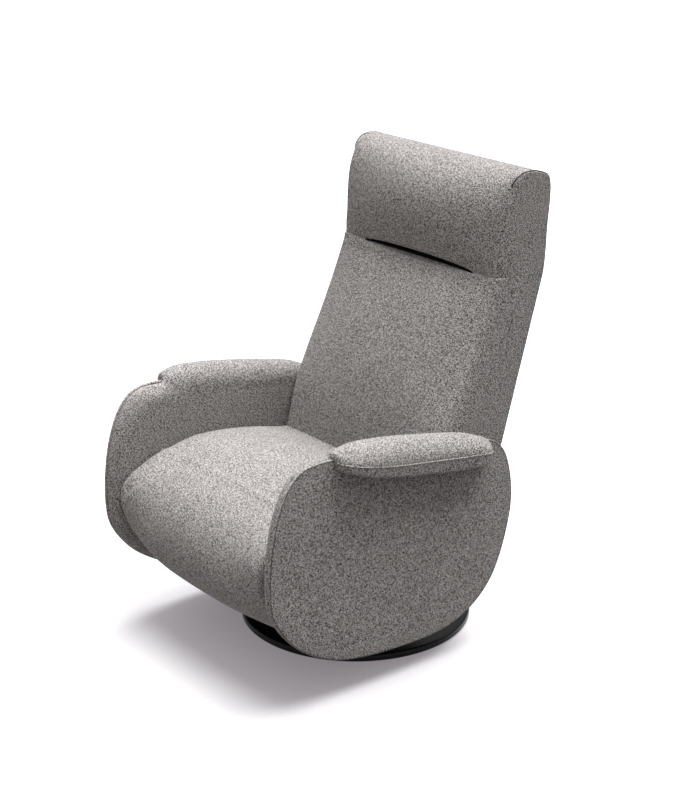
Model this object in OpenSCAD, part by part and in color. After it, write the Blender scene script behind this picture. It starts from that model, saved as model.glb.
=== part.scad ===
// Upholstered swivel recliner on a round disc base.
// X runs to the sitter's left, Y to the rear, Z up; the origin is the disc's centre on the floor.

/* [Arms] */
// Distance between the outer faces of the two arms
arm_span = 662; // [600:2:760]
// Thickness of one arm, from its outer face to the seat side
arm_t = 46; // [40:1:60]
// Length of an arm, front to rear
arm_len = 690; // [640:5:740]
// Height of an arm from its lowest edge to its top edge
arm_h = 501; // [470:1:530]
// Height of an arm's lowest edge above the floor
arm_lift = 74; // [60:1:80]
// Place of an arm's front edge, in front of the swivel axis
arm_front = 495; // [480:1:505]
// Thickness of the plywood panel inside an arm
arm_core_t = 18; // [12:1:20]
// Thickness of the padded cover on the outer face
arm_outer_t = 11; // [8:1:14]
// Width of cover between the panel's edge and the arm's edge
arm_rim = 14; // [10:1:20]
// Depth of the rounding where the seat side runs into the arm's edge
arm_round = 44; // [30:1:50]

/* [Arm pads] */
// Overhang of the pad past the arm's outer face
pad_overhang = 44; // [30:1:55]
// Length of the pad
pad_len = 438; // [390:2:445]
// Place of the pad's front end behind the arm's front edge
pad_setback = 170; // [150:1:190]
// Height of the crown over the arm's top edge at its middle
pad_crown = 40; // [32:1:50]
// Height of the band under the pad's outer seam
pad_band = 31; // [24:1:36]

/* [Seat] */
// Height of the seat's side edge above the floor
seat_h = 442; // [425:1:460]
// Rise of the seat's middle above its side edges
seat_crown = 20; // [10:1:35]
// Place of the joint between seat and legrest pads, in front of the axis
seat_front = 364; // [360:1:368]
// Place of the seat pad's rear end, in front of the axis
seat_rear = 8; // [8:1:16]
// Clearance between the seat pads and each arm
seat_gap = 3; // [2:0.5:6]

/* [Back] */
// Height of the back's top, head part included
back_top = 1099; // [1085:1:1115]
// Height of the fold between back and head part at its front
fold_h = 850; // [840:1:860]
// Height where the back's upholstery starts
back_start = 398; // [398:1:404]
// Thickness of the back's front pad
back_pad_t = 60; // [50:1:64]
// Forward bulge of the back's front pad
back_bulge = 12; // [4:1:16]
// Forward bulge of the back's front pad at the small of the back
lumbar = 17; // [6:1:20]
// Rounding of the front edges of back and head
front_round = 20; // [12:1:24]
// Rounding of the rear edges of back and head
rear_round = 16; // [10:1:20]
// Forward bulge of the head pad
head_bulge = 20; // [8:1:22]
// Clearance between the back and each arm
back_gap = 2; // [1.5:0.5:5]

/* [Base] */
// Diameter of the disc base
plate_d = 556; // [500:2:600]
// Thickness of the disc base
plate_t = 16; // [12:1:20]
// Thickness of a felt glide under the disc
glide_t = 2; // [1.5:0.5:4]
// Diameter of a felt glide
glide_d = 34; // [25:1:45]
// Number of felt glides
glide_count = 8; // [6:1:12]
// Diameter of the swivel post
post_d = 60; // [50:1:66]
// Height of the swivel post's top above the floor
post_top = 123; // [115:1:128]

/* [Motion] */
// Largest recline of the back from the pictured position, in degrees
recline_max = 38; // [20:1:38]
// Largest forward tilt of the head part, in degrees
head_tilt_max = 25; // [10:1:25]
// Travel of the legrest's slides
legrest_travel = 270; // [200:5:270]
// Tilt of the legrest at full travel, in degrees
legrest_tilt_max = 80; // [60:1:82]

/* [Hidden] */
$fn = 48;

fabric = [0.50, 0.48, 0.46];
steel = [0.25, 0.25, 0.27];
bright = [0.75, 0.75, 0.78];
wood = [0.78, 0.62, 0.42];
black = [0.03, 0.03, 0.035];
felt = [0.12, 0.12, 0.12];
nylon = [0.85, 0.85, 0.80];

// Fits
face_gap = 0.3;
run_gap = 0.05;
bolt_gap = 0.2;
overrun = 1;
bolt_r = 4;
bolt_head_r = 6.5;
bolt_head_h = 5;

// Points that follow a rule
function catmull(a, b, c, d, t) = 0.5 * (2 * b + (c - a) * t + (2 * a - 5 * b + 4 * c - d) * t * t
    + (3 * b - a - 3 * c + d) * t * t * t);
function closed_curve(p, steps) = let (n = len(p))
    [for (i = [0 : n - 1], j = [0 : steps - 1])
        catmull(p[(i + n - 1) % n], p[i], p[(i + 1) % n], p[(i + 2) % n], j / steps)];
function clamped(p, i) = p[max(0, min(len(p) - 1, i))];
function curve_at(p, t) = let (i = min(floor(t), len(p) - 2))
    catmull(clamped(p, i - 1), p[i], p[i + 1], clamped(p, i + 2), t - i);
function open_curve(p, steps) = [for (k = [0 : steps]) curve_at(p, k * (len(p) - 1) / steps)];
function power(v, e) = sign(v) * pow(abs(v), e);
function centre_of(p) = [for (k = [0 : 1]) (max([for (q = p) q[k]]) + min([for (q = p) q[k]])) / 2];
function inset(p, d) = let (c = centre_of(p)) [for (q = p) c + (q - c) * (1 - d / norm(q - c))];

// A closed solid over rings of equal point count, with a flat cap at each end
module skin(rings, flip = false) {
    m = len(rings[0]);
    n = len(rings);
    points = [for (r = rings, p = r) p];
    sides = [for (i = [0 : n - 2], j = [0 : m - 1], half = [0 : 1]) let (k = (j + 1) % m)
        half == 0 ? [i * m + j, i * m + k, (i + 1) * m + k] : [i * m + j, (i + 1) * m + k, (i + 1) * m + j]];
    caps = [[for (j = [m - 1 : -1 : 0]) j], [for (j = [0 : m - 1]) (n - 1) * m + j]];
    faces = concat(sides, caps);
    polyhedron(points, flip ? [for (f = faces) [for (j = [len(f) - 1 : -1 : 0]) f[j]]] : faces);
}

// A plate in the Y-Z plane from x to x + t
module side_slab(x, t) {
    translate([x, 0, 0]) rotate([90, 0, 90]) linear_extrude(t) children();
}
// A rod along X with its centre at (y, z)
module rod_x(x0, x1, y, z, r) {
    translate([x0, y, z]) rotate([0, 90, 0]) cylinder(h = x1 - x0, r = r);
}
module bar(low, high) {
    translate(low) cube(high - low);
}
module tube_between(a, b, r) {
    d = b - a;
    translate(a) rotate([0, acos(d[2] / norm(d)), atan2(d[1], d[0])]) cylinder(h = norm(d), r = r);
}
module both_sides() {
    children();
    mirror([1, 0, 0]) children();
}

// Arms: the outline seen from the side, as shares of its length and height, from the front edge round over the top
arm_outer_x = arm_span / 2;
arm_inner_x = arm_outer_x - arm_t;
arm_outline_shares = [
    [0, 0.471], [0.019, 0.731], [0.081, 0.932], [0.186, 1], [0.439, 0.964], [0.787, 0.902], [0.932, 0.848],
    [0.991, 0.701], [0.996, 0.471], [0.917, 0.178], [0.758, 0.024], [0.536, 0], [0.294, 0.038],
    [0.128, 0.148], [0.026, 0.311]
];
function arm_point(s) = [arm_len * s[0] - arm_front, arm_lift + arm_h * s[1]];
arm_outline = closed_curve([for (s = arm_outline_shares) arm_point(s)], 4);
core_outer_x = arm_outer_x - arm_outer_t;
core_inner_x = core_outer_x - arm_core_t;
arm_face_crown = 2.5;
function arm_ring(x, d) = [for (q = inset(arm_outline, d)) [x, q[0], q[1]]];

module arm_core() {
    color(wood) difference() {
        side_slab(core_inner_x + face_gap, arm_core_t - 2 * face_gap) polygon(inset(arm_outline, arm_rim + face_gap));
        arm_bolt_shapes(bolt_gap);
        children();
    }
}
module arm_outer_cover() {
    edge_share = 0.35;
    color(fabric) difference() {
        skin([
            arm_ring(core_outer_x, 0),
            arm_ring(arm_outer_x - arm_face_crown * (1 + edge_share), 0),
            arm_ring(arm_outer_x - arm_face_crown, arm_face_crown * edge_share),
            arm_ring(arm_outer_x - arm_face_crown * edge_share, arm_rim),
            arm_ring(arm_outer_x, arm_rim + arm_round)
        ], true);
        children();
    }
}
module arm_inner_cover() {
    fan = [for (k = [0 : 6]) 15 * k];
    color(fabric) difference() {
        skin(concat(
            [arm_ring(core_inner_x, arm_rim), arm_ring(core_outer_x, arm_rim)],
            [for (a = fan) arm_ring(core_outer_x - (core_outer_x - arm_inner_x) * sin(a), arm_round * (1 - cos(a)))]
        ));
        arm_bolt_shapes(bolt_gap);
    }
}

// Arm pads: heights above the arm's top edge, as shares along the pad from front to rear
pad_y0 = pad_setback - arm_front;
pad_top_shares = [0.50, 0.94, 1.04, 1.02, 0.93, 0.82, 0.68, 0.47, 0.08];
pad_seam_shares = [-0.10, -0.24, -0.36, -0.43, -0.46, -0.49, -0.51, -0.47, -0.50];
pad_band_shares = [0.60, 0.78, 0.90, 0.98, 1, 1.05, 1.08, 1.02, 0.70];
pad_front_round = 0.13;
pad_rear_round = 0.11;
pad_peak_share = 0.63;
pad_flatness = 0.6;
pad_inner_flatness = 0.8;
pad_lip = 4;
pad_rings = 18;
pad_arc = 10;
wrap_angle = 65;
wrap_steps = 4;
pad_gap = 0.9;
function share_at(p, s) = curve_at(p, s * (len(p) - 1));
function round_off(s, a) = s >= a ? 1 : sqrt(max(0, 1 - pow(1 - s / a, 2)));
function arm_top_at(y, d = 0) = let (near = [for (q = inset(arm_outline, d)) if (q[1] > arm_lift + arm_h / 2) q],
    left = [for (q = near) if (q[0] <= y) q], right = [for (q = near) if (q[0] > y) q],
    a = [for (q = left) if (q[0] == max([for (w = left) w[0]])) q][0],
    b = [for (q = right) if (q[0] == min([for (w = right) w[0]])) q][0])
    a[1] + (b[1] - a[1]) * (y - a[0]) / (b[0] - a[0]);
// One cross-section of the pad: over the crown to the outer seam, down the band, under and up round the arm's edge
function pad_ring(s) = let (
    y = pad_y0 + pad_len * s,
    full = 0.12 + 0.88 * min(round_off(s, pad_front_round), round_off(1 - s, pad_rear_round)),
    z0 = arm_top_at(y) + pad_gap,
    top = z0 + pad_crown * share_at(pad_top_shares, s),
    seam = z0 + pad_crown * share_at(pad_seam_shares, s),
    low = seam - pad_band * share_at(pad_band_shares, s),
    turn = wrap_angle * (0.35 + 0.65 * full),
    xi = core_outer_x - (core_outer_x - arm_inner_x) * (0.5 + 0.5 * full),
    zi = arm_top_at(y, arm_round * (1 - cos(turn))) + pad_gap,
    xo = arm_outer_x + pad_lip / 2 + pad_overhang * full,
    xm = xi + (xo - xi) * pad_peak_share)
    concat(
        [for (k = [0 : pad_arc]) let (a = 180 - 180 * k / pad_arc, side = a > 90 ? zi : seam)
            [a > 90 ? xm - (xm - xi) * abs(cos(a)) : xm + (xo - xm) * pow(cos(a), 0.7), y,
             side + (top - side) * pow(sin(a), a > 90 ? pad_inner_flatness : pad_flatness)]],
        [[xo - pad_lip / 2, y, low], [arm_outer_x + face_gap, y, low + pad_lip / 2],
         [arm_outer_x + face_gap, y, z0]],
        [for (k = [0 : wrap_steps]) let (a = turn * k / wrap_steps)
            [max(xi, core_outer_x - (core_outer_x - arm_inner_x) * sin(a)), y,
             arm_top_at(y, arm_round * (1 - cos(a))) + pad_gap]]);
function pad_station(i) = (1 - cos(180 * i / pad_rings)) / 2;
module arm_pad() {
    color(fabric) skin([for (i = [0 : pad_rings]) pad_ring(pad_station(i))], true);
}

// Base and swivel
plate_top = glide_t + plate_t;
plate_edge = 5;
glide_ring_r = plate_d / 2 - 1.2 * glide_d;
flange_d = 150;
flange_t = 8;
washer_t = 3;
bush_t = 5;
bush_z0 = plate_top + flange_t + 6;
housing_wall = 9;
housing_cap_t = 8;
post_bolt_pcd = 115;
post_bolt_n = 4;
bolt_bite = 10;
cap_z = post_top + washer_t + run_gap;
flange_z = cap_z + housing_cap_t;
module floor_glides() {
    color(felt) for (i = [0 : glide_count - 1]) rotate([0, 0, 360 * i / glide_count])
        translate([glide_ring_r, 0, 0]) cylinder(h = glide_t, r = glide_d / 2);
    color(felt) cylinder(h = glide_t, r = glide_d / 2);
}
plate_skin = 6;
hollow_r0 = 95;
hollow_r1 = glide_ring_r - 0.8 * glide_d;
module base_plate() {
    r = plate_d / 2;
    rounds = [for (a = [0 : 15 : 90]) [r - plate_edge * (1 - cos(a)), plate_top - plate_edge * (1 - sin(a))]];
    bevel = plate_edge / 3;
    color(black) difference() {
        rotate_extrude($fn = 180)
            polygon(concat([[0, glide_t], [hollow_r0, glide_t], [hollow_r0, plate_top - plate_skin],
                [hollow_r1, plate_top - plate_skin], [hollow_r1, glide_t],
                [r - bevel, glide_t], [r, glide_t + bevel]], rounds, [[0, plate_top]]));
        post_bolt_shapes(bolt_gap);
    }
}
module post_bolt_shapes(grow) {
    z0 = plate_top - bolt_bite;
    for (i = [0 : post_bolt_n - 1]) rotate([0, 0, 360 * (i + 0.5) / post_bolt_n])
        translate([post_bolt_pcd / 2, 0, z0 - grow]) cylinder(h = bolt_bite + flange_t + 2 * grow, r = bolt_r + grow);
}
module post_bolts() {
    color(bright) {
        post_bolt_shapes(0);
        for (i = [0 : post_bolt_n - 1]) rotate([0, 0, 360 * (i + 0.5) / post_bolt_n])
            translate([post_bolt_pcd / 2, 0, plate_top + flange_t]) cylinder(h = bolt_head_h, r = bolt_head_r, $fn = 6);
    }
}
module swivel_post() {
    color(steel) difference() {
        union() {
            translate([0, 0, plate_top]) cylinder(h = flange_t, r = flange_d / 2);
            translate([0, 0, plate_top]) cylinder(h = post_top - plate_top, r = post_d / 2);
        }
        post_bolt_shapes(bolt_gap);
    }
}
module ring_solid(z0, z1, r0, r1) {
    translate([0, 0, z0]) difference() {
        cylinder(h = z1 - z0, r = r1);
        translate([0, 0, -overrun]) cylinder(h = z1 - z0 + 2 * overrun, r = r0);
    }
}
module thrust_washer() {
    color(nylon) ring_solid(post_top, post_top + washer_t, post_d / 5, post_d / 2 - overrun);
}
module swivel_bush() {
    color(nylon) ring_solid(bush_z0, post_top - overrun, post_d / 2 + run_gap, post_d / 2 + bush_t);
}
housing_r = post_d / 2 + bush_t + housing_wall;

// Beams across the chair that carry the arms and the seat
beam_w = 40;
beam_h = 25;
beam_front_y = -130;
beam_rear_y = 10;
beam_z = flange_z + flange_t;
beam_wall = 3;
carrier_w = 150;
module swivel_housing() {
    color(steel) {
        difference() {
            union() {
                ring_solid(bush_z0, cap_z + overrun, post_d / 2 + bush_t, housing_r);
                translate([0, 0, cap_z]) cylinder(h = housing_cap_t, r = housing_r);
                bar([-carrier_w / 2, beam_front_y - beam_w / 2, flange_z], [carrier_w / 2, beam_rear_y + beam_w / 2, beam_z]);
            }
            flange_bolt_shapes(bolt_gap);
        }
    }
}
flange_bolt_x = carrier_w / 2 - 2 * bolt_head_r;
module flange_bolt_places() {
    for (x = [-flange_bolt_x, flange_bolt_x], y = [beam_front_y, beam_rear_y]) translate([x, y, 0]) children();
}
module flange_bolt_shapes(grow) {
    flange_bolt_places() translate([0, 0, flange_z - grow])
        cylinder(h = flange_t + beam_wall + 2 * grow, r = bolt_r + grow);
}
module flange_bolts() {
    color(bright) {
        flange_bolt_shapes(0);
        flange_bolt_places() translate([0, 0, flange_z - bolt_head_h]) cylinder(h = bolt_head_h, r = bolt_head_r, $fn = 6);
    }
}
// A hollow beam with a thick plate at each end, bolted through into the arms
end_plate_t = 8;
arm_bolt_x0 = arm_inner_x - end_plate_t;
arm_bolt_x1 = core_outer_x - 2;
arm_bolt_z = beam_z + beam_h / 2;
arm_bolt_dy = beam_w / 4;
module arm_bolt_places() {
    for (y = [beam_front_y, beam_rear_y], d = [-arm_bolt_dy, arm_bolt_dy]) translate([0, y + d, arm_bolt_z]) children();
}
module arm_bolt_shapes(grow) {
    arm_bolt_places() translate([arm_bolt_x0 - grow, 0, 0]) rotate([0, 90, 0])
        cylinder(h = arm_bolt_x1 - arm_bolt_x0 + 2 * grow, r = bolt_r + grow);
}
module arm_bolts() {
    color(bright) both_sides() {
        arm_bolt_shapes(0);
        arm_bolt_places() translate([arm_bolt_x0 - bolt_head_h, 0, 0]) rotate([0, 90, 0])
            cylinder(h = bolt_head_h, r = bolt_head_r, $fn = 6);
    }
}
module cross_beam(y) {
    color(steel) difference() {
        bar([-arm_inner_x, y - beam_w / 2, beam_z], [arm_inner_x, y + beam_w / 2, beam_z + beam_h]);
        bar([-arm_bolt_x0, y - beam_w / 2 + beam_wall, beam_z + beam_wall],
            [arm_bolt_x0, y + beam_w / 2 - beam_wall, beam_z + beam_h - beam_wall]);
        both_sides() arm_bolt_shapes(bolt_gap);
        flange_bolt_shapes(bolt_gap);
    }
}

// Seat frame: rails, plates and webbing
rail_w = 25;
rail_h = 25;
plate_w = 6;
rail_x1 = 252;
rail_x0 = rail_x1 - rail_w;
rail_z0 = 275;
rail_z1 = rail_z0 + rail_h;
rail_front_y = -337;
rail_rear_y = -12;
beam_top = beam_z + beam_h;
pivot_y = 48;
pivot_z = 360;
pin_r = 6;
pivot_boss_r = 22;
plate_x1 = rail_x1 + plate_w;
module side_plate() {
    foot = 24;
    color(steel) difference() {
        union() {
            side_slab(rail_x1, plate_w) polygon([
                [beam_front_y - beam_w / 2, beam_top], [beam_rear_y + beam_w / 2, beam_top],
                [pivot_y + pivot_boss_r, pivot_z], [pivot_y - pivot_boss_r, pivot_z],
                [-seat_rear + face_gap, rail_z1], [beam_front_y - beam_w / 2, rail_z1]]);
            rod_x(rail_x1, plate_x1, pivot_y, pivot_z, pivot_boss_r);
            bar([rail_x1 - foot, beam_front_y - beam_w / 2, beam_top],
                [rail_x1 + overrun, beam_rear_y + beam_w / 2, beam_top + plate_w]);
        }
        rod_x(rail_x1 - overrun, plate_x1 + overrun, pivot_y, pivot_z, pin_r);
    }
}
rail_wall = 2.5;
module seat_frame() {
    color(steel) difference() {
        union() {
            both_sides() bar([rail_x0, rail_front_y, rail_z0], [rail_x1, rail_rear_y, rail_z1]);
            for (y = [rail_front_y, rail_rear_y - rail_w])
                bar([-rail_x0 - overrun, y, rail_z0], [rail_x0 + overrun, y + rail_w, rail_z1]);
        }
        both_sides() bar([rail_x0 + rail_wall, rail_front_y + rail_wall, rail_z0 + rail_wall],
            [rail_x1 - rail_wall, rail_rear_y - rail_wall, rail_z1 - rail_wall]);
        for (y = [rail_front_y, rail_rear_y - rail_w])
            bar([-rail_x0, y + rail_wall, rail_z0 + rail_wall], [rail_x0, y + rail_w - rail_wall, rail_z1 - rail_wall]);
    }
}
strap_w = 50;
strap_t = 2;
module seat_webbing() {
    lengthwise = 5;
    crosswise = 3;
    room_x = 2 * rail_x1 - strap_w;
    room_y = rail_rear_y - rail_front_y - strap_w;
    color(felt) {
        for (i = [0 : lengthwise - 1]) let (x = -room_x / 2 + room_x * i / (lengthwise - 1))
            bar([x - strap_w / 2, rail_front_y, rail_z1], [x + strap_w / 2, rail_rear_y, rail_z1 + strap_t]);
        for (i = [1 : crosswise]) let (y = rail_front_y + strap_w / 2 + room_y * i / (crosswise + 1))
            bar([-rail_x1, y - strap_w / 2, rail_z1 + strap_t], [rail_x1, y + strap_w / 2, rail_z1 + 2 * strap_t]);
    }
}

// Seat and legrest pads: side profiles, lofted across the chair
pad_bottom = rail_z1 + 2 * strap_t + face_gap;
seat_half = arm_inner_x - seat_gap;
seat_len = seat_front - seat_rear;
seat_rise = seat_h - pad_bottom;
seat_top_shares = [0.89, 0.955, 1, 0.995, 0.965, 0.92, 0.86, 0.79, 0.725];
seat_crown_shares = [0.55, 0.72, 0.88, 0.97, 1, 0.94, 0.76, 0.42, 0.02];
seat_station_shares = [-1, -0.985, -0.94, -0.85, -0.7, -0.45, -0.15, 0.15, 0.45, 0.7, 0.85, 0.94, 0.985, 1];
edge_drop = 6;
function across(x) = 1 - x * x;
function drop_at(x) = edge_drop * pow(abs(x), 14);
function seat_ring(x) = let (half = seat_half * x)
    concat([[half, -seat_rear, pad_bottom], [half, -seat_front + face_gap, pad_bottom]],
        [for (k = [0 : 14]) let (s = k / 14)
            [half, -seat_front + face_gap + (seat_len - face_gap) * s,
             pad_bottom + seat_rise * share_at(seat_top_shares, s)
             + seat_crown * across(x) * share_at(seat_crown_shares, s) - drop_at(x)]]);
module seat_cushion() {
    color(fabric) skin([for (x = seat_station_shares) seat_ring(x)]);
}
// Legrest pad: from the seat's front top round the nose and down to the lower edge
nose_depth = 122;
legrest_low = 146;
legrest_top = pad_bottom + seat_rise * seat_top_shares[0];
legrest_drop = legrest_top - legrest_low;
legrest_profile_shares = [
    [0, 1], [0.25, 0.968], [0.52, 0.915], [0.77, 0.853], [0.94, 0.775], [1, 0.685], [0.985, 0.565],
    [0.885, 0.42], [0.70, 0.27], [0.46, 0.125], [0.24, 0.02], [0.1, 0.0], [0, 0.03]
];
low_lift = 12;
nose_swell_share = 0.11;
function legrest_ring(x) = let (half = seat_half * x, c = seat_crown * seat_crown_shares[0] * across(x))
    [for (p = concat(open_curve(legrest_profile_shares, 26)))
        [half, -seat_front - nose_depth * p[0] * (1 + nose_swell_share * across(x)) + drop_at(x) * p[0] / 2,
         legrest_low + legrest_drop * p[1] + c * p[1] * p[1] - drop_at(x) * p[1]
         + low_lift * pow(abs(x), 5) * (1 - p[1])]];
module legrest_cushion() {
    color(fabric) skin([for (x = seat_station_shares) legrest_ring(x)], true);
}

// Legrest slides, board and hinge
channel_x0 = 232;
channel_x1 = rail_x1;
channel_h = 24;
channel_z0 = rail_z0 - channel_h;
channel_len = 320;
runner_w = 10;
runner_h = 14;
groove_gap = 0.5;
runner_x0 = channel_x0 + 5;
tilt_y = -337;
tilt_z = channel_z0 + channel_h / 2;
ear_t = 4;
ear_gap = 0.5;
tilt_pin_r = 5;
board_t = 15;
board_y1 = -seat_front + board_t;
eye_r = 9;
module slide_channel() {
    color(bright) difference() {
        bar([channel_x0, rail_front_y + eye_r, channel_z0], [channel_x1, rail_front_y + channel_len, rail_z0]);
        bar([runner_x0 - groove_gap, rail_front_y - overrun, tilt_z - runner_h / 2 - groove_gap],
            [runner_x0 + runner_w + groove_gap, rail_front_y + channel_len + overrun, tilt_z + runner_h / 2 + groove_gap]);
    }
}
module runner() {
    color(steel) difference() {
        union() {
            bar([runner_x0, tilt_y, tilt_z - runner_h / 2],
                [runner_x0 + runner_w, rail_front_y + channel_len - overrun, tilt_z + runner_h / 2]);
            rod_x(runner_x0, runner_x0 + runner_w, tilt_y, tilt_z, eye_r);
        }
        rod_x(runner_x0 - overrun, runner_x0 + runner_w + overrun, tilt_y, tilt_z, tilt_pin_r);
    }
}
ear_x1 = runner_x0 - ear_gap;
module legrest_shaft() {
    color(bright) rod_x(-runner_x0 - runner_w, runner_x0 + runner_w, tilt_y, tilt_z, tilt_pin_r);
}
board_low_gap = 14;
board_top_gap = 10;
board_z0 = legrest_low + board_low_gap;
board_z1 = pad_bottom - board_top_gap;
module legrest_board() {
    color(wood) bar([-seat_half + arm_round / 2, -seat_front + face_gap, board_z0],
        [seat_half - arm_round / 2, board_y1, board_z1]);
}
module legrest_ears() {
    foot_h = 50;
    foot_t = 3;
    color(steel) both_sides() difference() {
        union() {
            side_slab(ear_x1 - ear_t, ear_t) polygon([
                [board_y1, tilt_z - foot_h / 2], [tilt_y, tilt_z - eye_r], [tilt_y, tilt_z + eye_r],
                [board_y1, tilt_z + foot_h / 2]]);
            rod_x(ear_x1 - ear_t, ear_x1, tilt_y, tilt_z, eye_r);
            bar([ear_x1 - rail_w, board_y1, tilt_z - foot_h / 2], [ear_x1, board_y1 + foot_t, tilt_z + foot_h / 2]);
        }
        rod_x(ear_x1 - ear_t - overrun, ear_x1 + overrun, tilt_y, tilt_z, tilt_pin_r + run_gap);
    }
}

// Back: front and rear edges of its section, from the bottom to the fold
back_half = arm_inner_x - back_gap;
back_h = fold_h - back_start;
front_foot_y = -5;
front_lean = 186;
rear_foot_y = 186;
rear_lean = 135;
back_rise_shares = [0, 0.04, 0.12, 0.24, 0.36, 0.48, 0.62, 0.77, 0.90, 1];
lumbar_shares = [0, 0.55, 0.92, 0.88, 0.62, 0.32, 0.10, 0, 0];
bulge_shares = [0, 0.6, 0.9, 1, 1, 1, 1, 0.9, 0.7];
corner_n = 4;
face_n = 8;
function back_front(s) = [front_foot_y + front_lean * s, back_start + back_h * s];
function back_rear(s) = [rear_foot_y + rear_lean * s, back_start + back_h * s];
// Half of a rounded section, from the face at p inward along d; the side away from the face is flat
function half_section(p, d, depth, half, bulge, r) = concat(
    [[half, p[0] + d[0] * depth, p[1] + d[1] * depth]],
    [for (k = [0 : corner_n]) let (a = 90 * k / corner_n, q = p + d * r * (1 - sin(a)))
        [half - r * (1 - cos(a)), q[0], q[1]]],
    [for (k = [1 : face_n - 1]) let (t = 1 - 2 * k / face_n, q = p - d * bulge * (1 - t * t))
        [(half - r) * t, q[0], q[1]]],
    [for (k = [corner_n : -1 : 0]) let (a = 90 * k / corner_n, q = p + d * r * (1 - sin(a)))
        [-half + r * (1 - cos(a)), q[0], q[1]]],
    [[-half, p[0] + d[0] * depth, p[1] + d[1] * depth]]);
function toward(a, b) = (b - a) / norm(b - a);
pocket_half = 268;
frame_r = 10;
cross_r = 8;
lean_angle = atan2(front_lean, back_h);
frame_set = (face_gap + strap_t + frame_r) / cos(lean_angle);
pocket_d = frame_set + frame_r / cos(lean_angle) + 1;
function split_at(s, extra) = back_front(s) + [back_pad_t + extra, 0];
hinge_x = 205;
leaf_t = 4;
leaf_gap = 0.5;
leaf_r = 11;
hinge_room = 5;
head_axis_y = 198;
head_axis_z = fold_h + 2;
// Pockets for the hinge leaves of the head part
module leaf_pocket(y0, y1, z0, z1) {
    both_sides() bar([hinge_x - hinge_room, y0, z0], [hinge_x + 2 * leaf_t + leaf_gap + hinge_room, y1, z1]);
}
module back_cushion() {
    color(fabric) difference() {
        skin([for (s = back_rise_shares) let (swell = lumbar * share_at(lumbar_shares, s))
            half_section(back_front(s) - [swell, 0], [1, 0], back_pad_t + swell, back_half,
                back_bulge * share_at(bulge_shares, s), front_round)]);
        leaf_pocket(head_axis_y - leaf_r - 1, split_at(1, overrun)[0], fold_h - 3 * leaf_r, fold_h + overrun);
    }
}
notch_half = 8;
module back_shell() {
    color(fabric) difference() {
        skin([for (s = back_rise_shares)
            half_section(back_rear(s), [-1, 0], rear_foot_y - front_foot_y - back_pad_t - face_gap
                - (front_lean - rear_lean) * s, back_half, 2, rear_round)], true);
        side_slab(-pocket_half, 2 * pocket_half) polygon([
            split_at(-0.05, -overrun), split_at(-0.05, pocket_d), split_at(0.975, pocket_d), split_at(0.975, -overrun)]);
        side_slab(-notch_half, 2 * notch_half) polygon([
            split_at(-0.05, -overrun), split_at(-0.05, 2 * pocket_d), split_at(0.09, 2 * pocket_d),
            split_at(0.09, -overrun)]);
    }
}
tube_x = rail_x1 + plate_w - frame_r + 0.5;
function frame_at(s) = split_at(s, frame_set);
frame_low = frame_at(0.012);
frame_high = frame_at(0.94);
lean_dir = toward(back_front(0), back_front(1));
frame_cross_low = frame_low + lean_dir * 1.6 * frame_r;
frame_cross_high = frame_high - lean_dir * 0.7 * frame_r;
module back_frame() {
    color(steel) {
        both_sides() tube_between([tube_x, frame_low[0], frame_low[1]], [tube_x, frame_high[0], frame_high[1]], frame_r);
        for (p = [frame_cross_low, frame_cross_high]) rod_x(-tube_x, tube_x, p[0], p[1], cross_r);
        both_sides() hinge_leaf(hinge_x, frame_cross_high);
        gas_lever();
    }
}
bracket_x0 = rail_x1 + plate_w + 0.5;
bracket_t = 5;
module back_brackets() {
    p = frame_at(0.10);
    color(steel) both_sides() difference() {
        union() {
            side_slab(bracket_x0, bracket_t) polygon([
                [frame_low[0] - frame_r, frame_low[1]], [pivot_y - pivot_boss_r, pivot_z],
                [pivot_y + pivot_boss_r, pivot_z], [frame_low[0] + frame_r, frame_low[1]],
                [p[0] + frame_r, p[1]], [p[0] - frame_r, p[1]]]);
            rod_x(bracket_x0, bracket_x0 + bracket_t, pivot_y, pivot_z, pivot_boss_r);
        }
        rod_x(bracket_x0 - overrun, bracket_x0 + bracket_t + overrun, pivot_y, pivot_z, pin_r + run_gap);
    }
}
module recline_pins() {
    head = 4;
    color(bright) both_sides() {
        rod_x(rail_x1 - head, bracket_x0 + bracket_t + overrun, pivot_y, pivot_z, pin_r);
        rod_x(rail_x1 - head, rail_x1, pivot_y, pivot_z, pin_r + head);
        rod_x(bracket_x0 + bracket_t + overrun / 2, bracket_x0 + bracket_t + head, pivot_y, pivot_z, pin_r + head);
    }
}
module back_webbing() {
    straps = 6;
    color(felt) for (i = [1 : straps]) let (p = frame_at(0.08 + 0.73 * i / straps))
        translate([-tube_x, p[0] - (frame_r + strap_t) / cos(lean_angle), p[1]])
            rotate([-lean_angle, 0, 0]) cube([2 * tube_x, strap_t, strap_w * 0.8]);
}
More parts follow.
